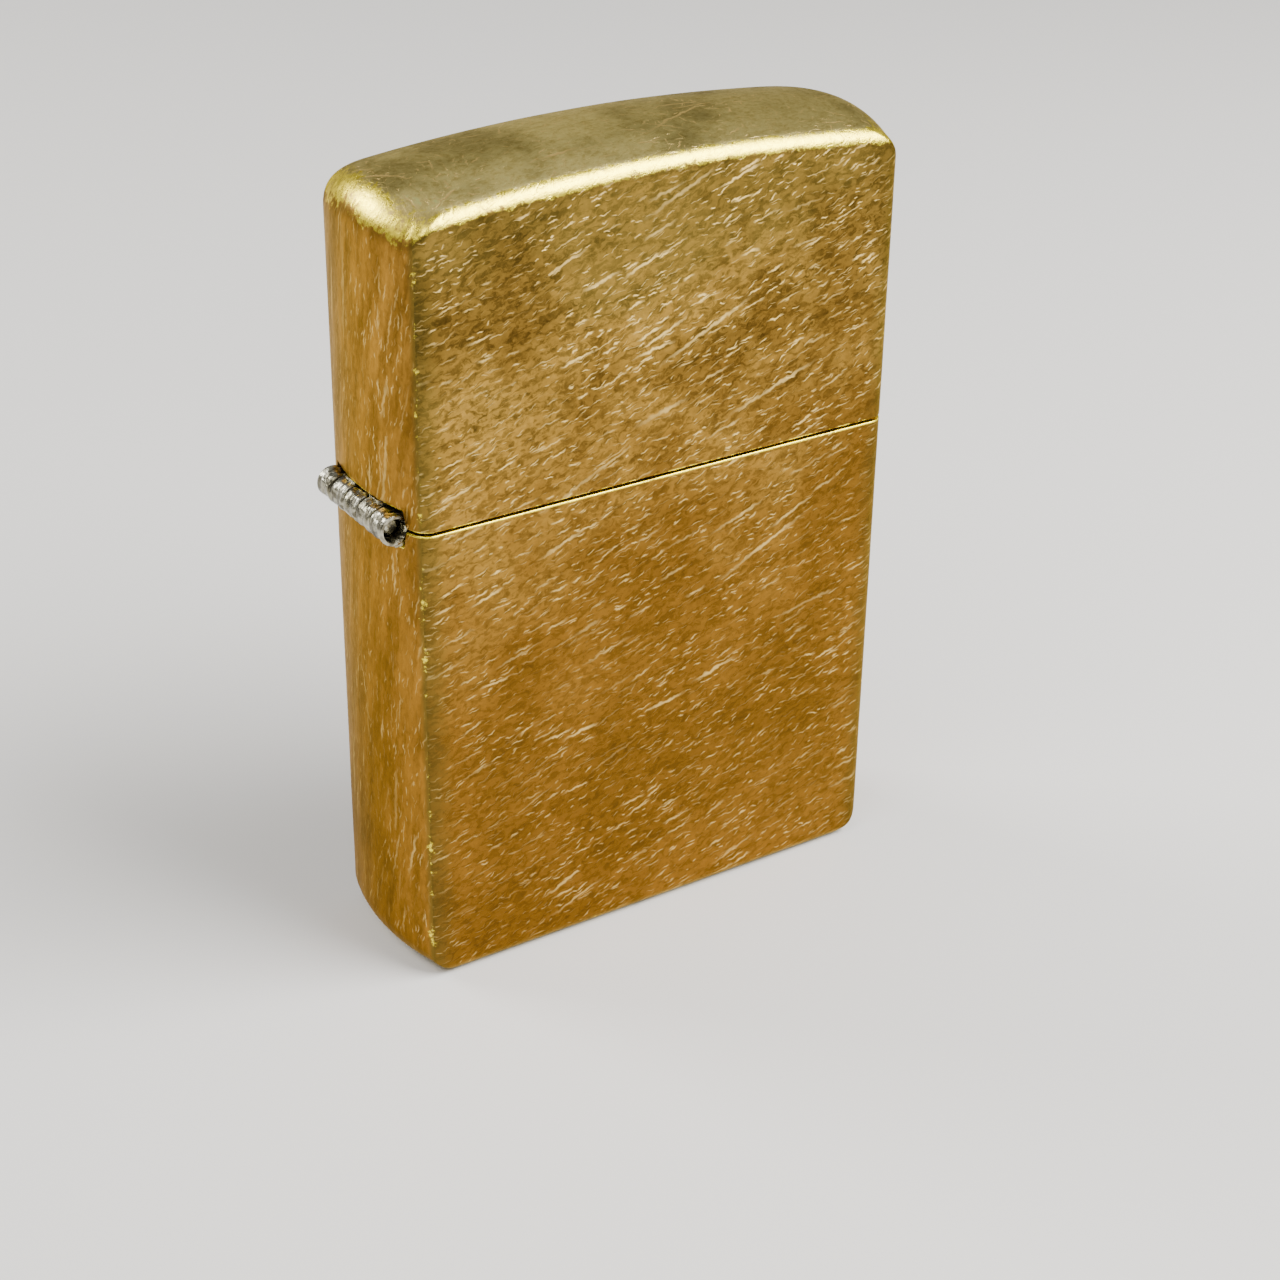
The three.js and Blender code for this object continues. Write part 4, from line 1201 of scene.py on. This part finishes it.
def flint_wheel():
    half, rim = WHEEL_HALF, WHEEL_RADIUS - 0.34
    face = [(1.02, half - 0.32), (1.1, half - 0.24), (1.75, half - 0.24), (1.85, half - 0.3), (2.6, half - 0.3)]
    face += [(2.7, half - 0.05), (2.8, half), (3.3, half), (3.55, half - 0.06), (rim, half - 0.22)]
    profile = [(r, -y) for r, y in face] + [(r, y) for r, y in reversed(face)]
    core = turned(profile, (0, 0, 0), "Y", 160, closed=True)
    wheel = grow(core, TEETH, Material=MATERIALS["wheel_steel"], Teeth=44, Rows=8, Radius=rim - 0.03,
                 Width=3.3, Tooth=0.34)
    bmesh.ops.translate(wheel, vec=(WHEEL_X, 0, WHEEL_Z), verts=wheel.verts)
    finish_mesh("flint_wheel", wheel, "wheel_steel", "wheel", CRISP)


def rivet_profile(shank, head, grip, height):
    """A shank with a low domed head at each end, its middle at 0."""
    half = grip / 2
    dome = [(head * math.sin(t), half + height * (0.3 + 0.7 * math.cos(t))) for t in np.linspace(0, math.pi / 2, 9)]
    upper = [(shank, 0.6 * half), (shank, half - 0.02), (shank + 0.05, half), (head - 0.06, half), (head, half + 0.05)]
    upper += list(reversed(dome))
    return [(r, -h) for r, h in reversed(upper)] + upper


def wheel_axle():
    grip = 2 * (LUG_OUTER + 0.15)
    made = turned(rivet_profile(AXLE_RADIUS, 1.5, grip, 0.5), (WHEEL_X, 0, WHEEL_Z), "Y")
    finish_mesh("wheel_axle", roughen(made, 0.015, 1.5), "rivet_steel", "case")


chimney()
flint_wheel()
wheel_axle()

# ---------------------------------------------------------------- insert: cam, rivets and spring
CAM_HALF = 1.0
CAM_SPRING_HIGH = CAM_Z - 3.1
CAM_SPRING_ENDS = (-14.4, -8.4)


def cam_lever():
    outline = arc_points((-4.3, -0.35), 0.45, 99, 261, 14) + [(-1.1, -1.2)]
    outline += arc_points((0.2, -2.15), 0.65, 189, 360, 18) + arc_points((0, 0), 1.35, -27, 108, 30)
    outline = [(CAM_X + x, CAM_Z + z) for x, z in outline]
    hole = rod((CAM_X, CAM_Z), CAM_RIVET + 0.1, -2, 2)
    made = carve(prism(outline, -CAM_HALF, CAM_HALF, "Y"), [hole], bevel=0.09, segments=3)
    finish_mesh("cam_lever", made, "insert_steel", "cam", CRISP)


def cam_rivet():
    grip = 2 * (1.8 + 0.15)
    made = turned(rivet_profile(CAM_RIVET, 1.0, grip, 0.4), (CAM_X, 0, CAM_Z), "Y", 48)
    finish_mesh("cam_rivet", roughen(made, 0.012, 2.0), "rivet_steel", "case")


def cam_spring():
    x0, x1 = CAM_SPRING_ENDS
    outline = fillet([(x0, -1.2), (x1, -1.2), (x1, 1.2), (x0, 1.2)], 0.8, 8, closed=True)
    hole = rod((SPRING_RIVET_X, 0), CAM_RIVET, CAM_SPRING_HIGH - 1, CAM_SPRING_HIGH + 1, "Z")
    made = carve(prism(outline, CAM_SPRING_HIGH - 0.3, CAM_SPRING_HIGH), [hole], bevel=0.05)
    finish_mesh("cam_spring", made, "spring_steel", "case", CRISP)


def cam_spring_rivet():
    low, high = CAM_SPRING_HIGH - 0.45, DECK_HIGH + 0.15
    made = turned(rivet_profile(0.45, 0.9, high - low, 0.3), (SPRING_RIVET_X, 0, (low + high) / 2), "Z", 48)
    finish_mesh("cam_spring_rivet", roughen(made, 0.01, 2.4), "rivet_steel", "case")


cam_lever()
cam_rivet()
cam_spring()
cam_spring_rivet()

# ---------------------------------------------------------------- insert: flint and its feed
FLINT_RADIUS = 1.2
FLINT_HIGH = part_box("flint")[1].z / MM
FLINT_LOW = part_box("flint")[0].z / MM
FLINT_TUBE_LOW = 3.6
SPRING_LOW = 6.7
SPRING_HIGH = 31.2
SPRING_TURNS = 12
SPRING_WIRE = 0.235
SPRING_CURVE = 0.91
SCREW_HEAD = 2.4


def flint_tube():
    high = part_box("flint_tube")[1].z / MM
    outer = [(TUBE_RADIUS - 0.08, FLINT_TUBE_LOW), (TUBE_RADIUS, FLINT_TUBE_LOW + 0.1)]
    outer += [(TUBE_RADIUS, z) for z in np.linspace(FLINT_TUBE_LOW + 1, high - 1, 20)]
    outer += [(TUBE_RADIUS, high - 0.14), (TUBE_RADIUS - 0.08, high - 0.02), (TUBE_RADIUS - 0.2, high)]
    inner = [(TUBE_BORE + 0.14, high), (TUBE_BORE + 0.04, high - 0.06), (TUBE_BORE, high - 0.2)]
    inner += [(TUBE_BORE, z) for z in np.linspace(high - 1, FLINT_TUBE_LOW + 1, 8)]
    inner += [(TUBE_BORE, FLINT_TUBE_LOW + 0.1), (TUBE_BORE + 0.08, FLINT_TUBE_LOW)]
    made = turned(outer + inner, (WHEEL_X, 0, 0), closed=True)
    finish_mesh("flint_tube", made, "fitting_brass", "case")


def flint():
    levels = np.linspace(FLINT_LOW + 0.1, FLINT_HIGH - 0.1, 26)
    profile = [(0, FLINT_LOW), (0.6, FLINT_LOW), (FLINT_RADIUS - 0.1, FLINT_LOW)]
    profile += [(FLINT_RADIUS, z) for z in levels] + [(FLINT_RADIUS - 0.1, FLINT_HIGH), (0.6, FLINT_HIGH)]
    made = turned(profile + [(0, FLINT_HIGH)], (WHEEL_X, 0, 0))
    finish_mesh("flint", roughen(made, 0.05, 3.0), "ferro", "flint_feed")


def spring_tip():
    high = FLINT_LOW - 0.15
    profile = [(0, high - 2.4), (0.4, high - 2.38), (0.56, high - 2.25), (0.6, high - 2.05), (0.6, high - 1.26)]
    profile += [(0.66, high - 1.2), (FLINT_RADIUS - 0.1, high - 1.2), (FLINT_RADIUS, high - 1.1)]
    profile += [(FLINT_RADIUS, high - 0.7), (FLINT_RADIUS - 0.08, high - 0.62), (FLINT_RADIUS, high - 0.54)]
    profile += [(FLINT_RADIUS, high - 0.12), (FLINT_RADIUS - 0.12, high - 0.01), (0.3, high), (0, high - 0.03)]
    made = turned(profile, (WHEEL_X, 0, 0), sides=56)
    finish_mesh("spring_tip", made, "fitting_brass", "flint_feed")


def flint_spring():
    path = []
    for t in np.linspace(0, 1, SPRING_TURNS * 40):
        angle = t * SPRING_TURNS * TURN
        height = SPRING_LOW + t * (SPRING_HIGH - SPRING_LOW)
        path.append((WHEEL_X + SPRING_CURVE * math.cos(angle), SPRING_CURVE * math.sin(angle), height))
    wire = grow(lines([path]), TUBE, Material=MATERIALS["spring_steel"], Radius=SPRING_WIRE, Sides=16)
    made = finish_mesh("flint_spring", wire, "spring_steel", "case")
    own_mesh(made)


def flint_screw():
    """Knurled head with a coin slot, and a threaded shank."""
    low, high = 2.2, FLINT_TUBE_LOW - 0.3
    top = SPRING_LOW - 0.39
    shank = TUBE_BORE - 0.2
    pitch = 0.45
    profile = [(0, low), (1.2, low), (SCREW_HEAD - 0.16, low), (SCREW_HEAD, low + 0.14)]
    profile += [(SCREW_HEAD, z) for z in np.linspace(low + 0.3, high - 0.3, 4)]
    profile += [(SCREW_HEAD, high - 0.14), (SCREW_HEAD - 0.14, high), (shank + 0.1, high), (shank, high + 0.08)]
    profile += [(shank, z) for z in np.linspace(high + 0.2, top - 0.2, 48)]
    profile += [(shank - 0.16, top), (0.5, top), (0, top)]

    def cut_form(radius, height, angle):
        if radius == SCREW_HEAD:
            return radius - 0.09 * abs(math.sin(angle * 24))
        if radius == shank and height > high + 0.15:
            turn = (height / pitch - angle / TURN) % 1
            return radius - 0.2 * abs(2 * turn - 1)
        return radius

    body = turned(profile, (WHEEL_X, 0, 0), sides=192, shape=cut_form)
    slot = block((WHEEL_X - 3, -0.35, low - 1), (WHEEL_X + 3, 0.35, low + 0.55))
    made = carve(body, [slot], bevel=0)
    finish_mesh("flint_screw", made, "fitting_brass", "case", CRISP)


flint_tube()
flint()
spring_tip()
flint_spring()
flint_screw()

# ---------------------------------------------------------------- insert: wick, wadding and felt
WICK_RADIUS = 1.45
WICK_ROUTE = (
    (0, 44.9), (0, 40), (0, 36), (0, 33), (-4.5, 29), (-4.5, 24), (2, 18.5), (0, 12.5), (-5, 8),
)      # from the wick's middle line, and up from the base
STRANDS = 7
STRAND_RADIUS = 0.5
STRAND_TURN = 4.6      # millimetres of wick to one turn of the twist


def wick_line(steps):
    """Points along the wick, evenly spaced, by a centripetal spline through its route."""
    route = [np.array((WICK_X + x, z)) for x, z in WICK_ROUTE]
    route = [2 * route[0] - route[1]] + route + [2 * route[-1] - route[-2]]
    dense = []
    for p0, p1, p2, p3 in zip(route, route[1:], route[2:], route[3:]):
        d0, d1, d2 = (math.sqrt(np.linalg.norm(b - a)) for a, b in ((p0, p1), (p1, p2), (p2, p3)))
        m1 = ((p1 - p0) / d0 - (p2 - p0) / (d0 + d1) + (p2 - p1) / d1) * d1
        m2 = ((p2 - p1) / d1 - (p3 - p1) / (d1 + d2) + (p3 - p2) / d2) * d1
        for t in np.linspace(0, 1, 40, endpoint=False):
            dense.append((2 * t**3 - 3 * t**2 + 1) * p1 + (t**3 - 2 * t**2 + t) * m1
                         + (3 * t**2 - 2 * t**3) * p2 + (t**3 - t**2) * m2)
    dense = np.array(dense + [route[-2]])
    along = np.concatenate([[0], np.cumsum(np.linalg.norm(np.diff(dense, axis=0), axis=1))])
    wanted = np.linspace(0, along[-1], steps)
    return np.column_stack([np.interp(wanted, along, dense[:, k]) for k in (0, 1)]), along[-1]


def wick():
    steps = 260
    middle, length = wick_line(steps)
    ahead = np.gradient(middle, axis=0)
    ahead /= np.linalg.norm(ahead, axis=1)[:, None]
    paths = []
    for strand in range(STRANDS + 1):
        path = []
        for i in range(steps):
            run = i / (steps - 1) * length
            angle = TURN * (run / STRAND_TURN + strand / STRANDS)
            out = 0.0 if strand == STRANDS else WICK_RADIUS - STRAND_RADIUS - 0.02
            out -= 0.12 * max(0.0, 1 - run / 0.8)
            side = out * math.cos(angle)
            x = middle[i, 0] + ahead[i, 1] * side
            z = middle[i, 1] - ahead[i, 0] * side
            path.append((x, out * math.sin(angle), z))
        if strand < STRANDS:
            path[0] = (path[0][0], path[0][1], path[0][2] - 0.35 * ((strand * 3) % STRANDS) / STRANDS)
        paths.append(path)
    made = grow(lines(paths), TUBE, Material=MATERIALS["wick_yarn"], Radius=STRAND_RADIUS, Sides=14,
                Unevenness=0.12, Fineness=2.2)
    finish_mesh("wick", made, "wick_yarn", "case", math.radians(60))


def wick_eyelet():
    bore, neck, flange = WICK_RADIUS + 0.2, WICK_RADIUS + 0.75, WICK_RADIUS + 1.25
    corners = [(bore, DECK_LOW - 0.4), (neck, DECK_LOW - 0.4), (neck, DECK_HIGH + 0.15),
               (flange, DECK_HIGH + 0.15), (flange, DECK_HIGH + 0.5), (bore, DECK_HIGH + 0.5)]
    made = turned(fillet(corners, 0.14, 4, closed=True), (WICK_X, 0, 0), sides=72, closed=True)
    finish_mesh("wick_eyelet", made, "fitting_brass", "case")


def wadding(index):
    low, high = (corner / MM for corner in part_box(f"wadding_{index}"))
    outline = fillet([(low.x, low.z), (high.x, low.z), (high.x, high.z), (low.x, high.z)], 2.6, 8, closed=True)
    middle, _ = wick_line(90)
    ahead = np.gradient(middle, axis=0)
    ahead /= np.linalg.norm(ahead, axis=1)[:, None]
    rings = []
    for (x, z), (dx, dz) in zip(middle, ahead):
        rings.append([(x + dz * 1.72 * math.cos(a), 1.72 * math.sin(a), z - dx * 1.72 * math.cos(a))
                      for a in np.linspace(0, TURN, 24, endpoint=False)])
    blank = carve(prism(outline, low.y, high.y, "Y"), bevel=1.1, segments=5)
    made = roughen(carve(blank, [loft(rings)], bevel=0, voxel=0.26), 0.4, 0.9, 4, index * 5.3)
    piece = finish_mesh(f"wadding_{index}", made, "cotton", "case", math.radians(80))


def felt_pad():
    low, high = (corner.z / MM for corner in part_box("felt_pad"))
    outline = [tuple(row[:2]) for row in insert_outline(TANK_WALL + 0.3, 0.6)]
    hole = rod((WHEEL_X, 0), SCREW_HEAD + 0.5, low - 1, high + 1, "Z")
    made = carve(prism(outline, low, high), [hole], bevel=0, voxel=0.2)
    piece = finish_mesh("felt_pad", roughen(made, 0.16, 1.6, 4), "felt", "case", math.radians(80))


wick()
wick_eyelet()
for number in range(1, 6):
    wadding(number)
felt_pad()


# ---------------------------------------------------------------- stage and light, in metres
FLOOR_HALF = 8.0
FLOOR_LEVEL = -0.05 * MM


def make_floor():
    bm = bmesh.new()
    bmesh.ops.create_grid(bm, x_segments=2, y_segments=2, size=FLOOR_HALF)
    floor = new_object("floor", bm)
    floor.data.materials.append(new_material("floor", roughness=0.85, Base_Color=(0.72, 0.70, 0.67, 1))[0])
    floor.location.z = FLOOR_LEVEL


def make_light(name, position, target, size, power):
    data = bpy.data.lights.new(name, "AREA")
    data.shape = "RECTANGLE"
    data.size, data.size_y = size
    data.energy = power
    light = bpy.data.objects.new(name, data)
    light.location = position
    light.rotation_mode = "QUATERNION"
    light.rotation_quaternion = (Vector(target) - Vector(position)).to_track_quat("-Z", "Y")
    bpy.context.scene.collection.objects.link(light)


def make_world():
    world = bpy.data.worlds.new("studio")
    world.use_nodes = True
    background = world.node_tree.nodes["Background"]
    background.inputs["Color"].default_value = (0.9, 0.9, 0.88, 1)
    background.inputs["Strength"].default_value = 0.38
    bpy.context.scene.world = world


make_floor()
make_world()
make_light("overhead", (0.2, -0.21, 0.33), (0, 0, 0.03), (0.32, 0.26), 4.5)
make_light("left_fill", (-0.25, -0.12, 0.4), (0, 0, 0.03), (0.3, 0.2), 0.9)
make_light("back_left", (-0.26, 0.36, 0.26), (0, 0, 0.04), (0.22, 0.16), 1.8)
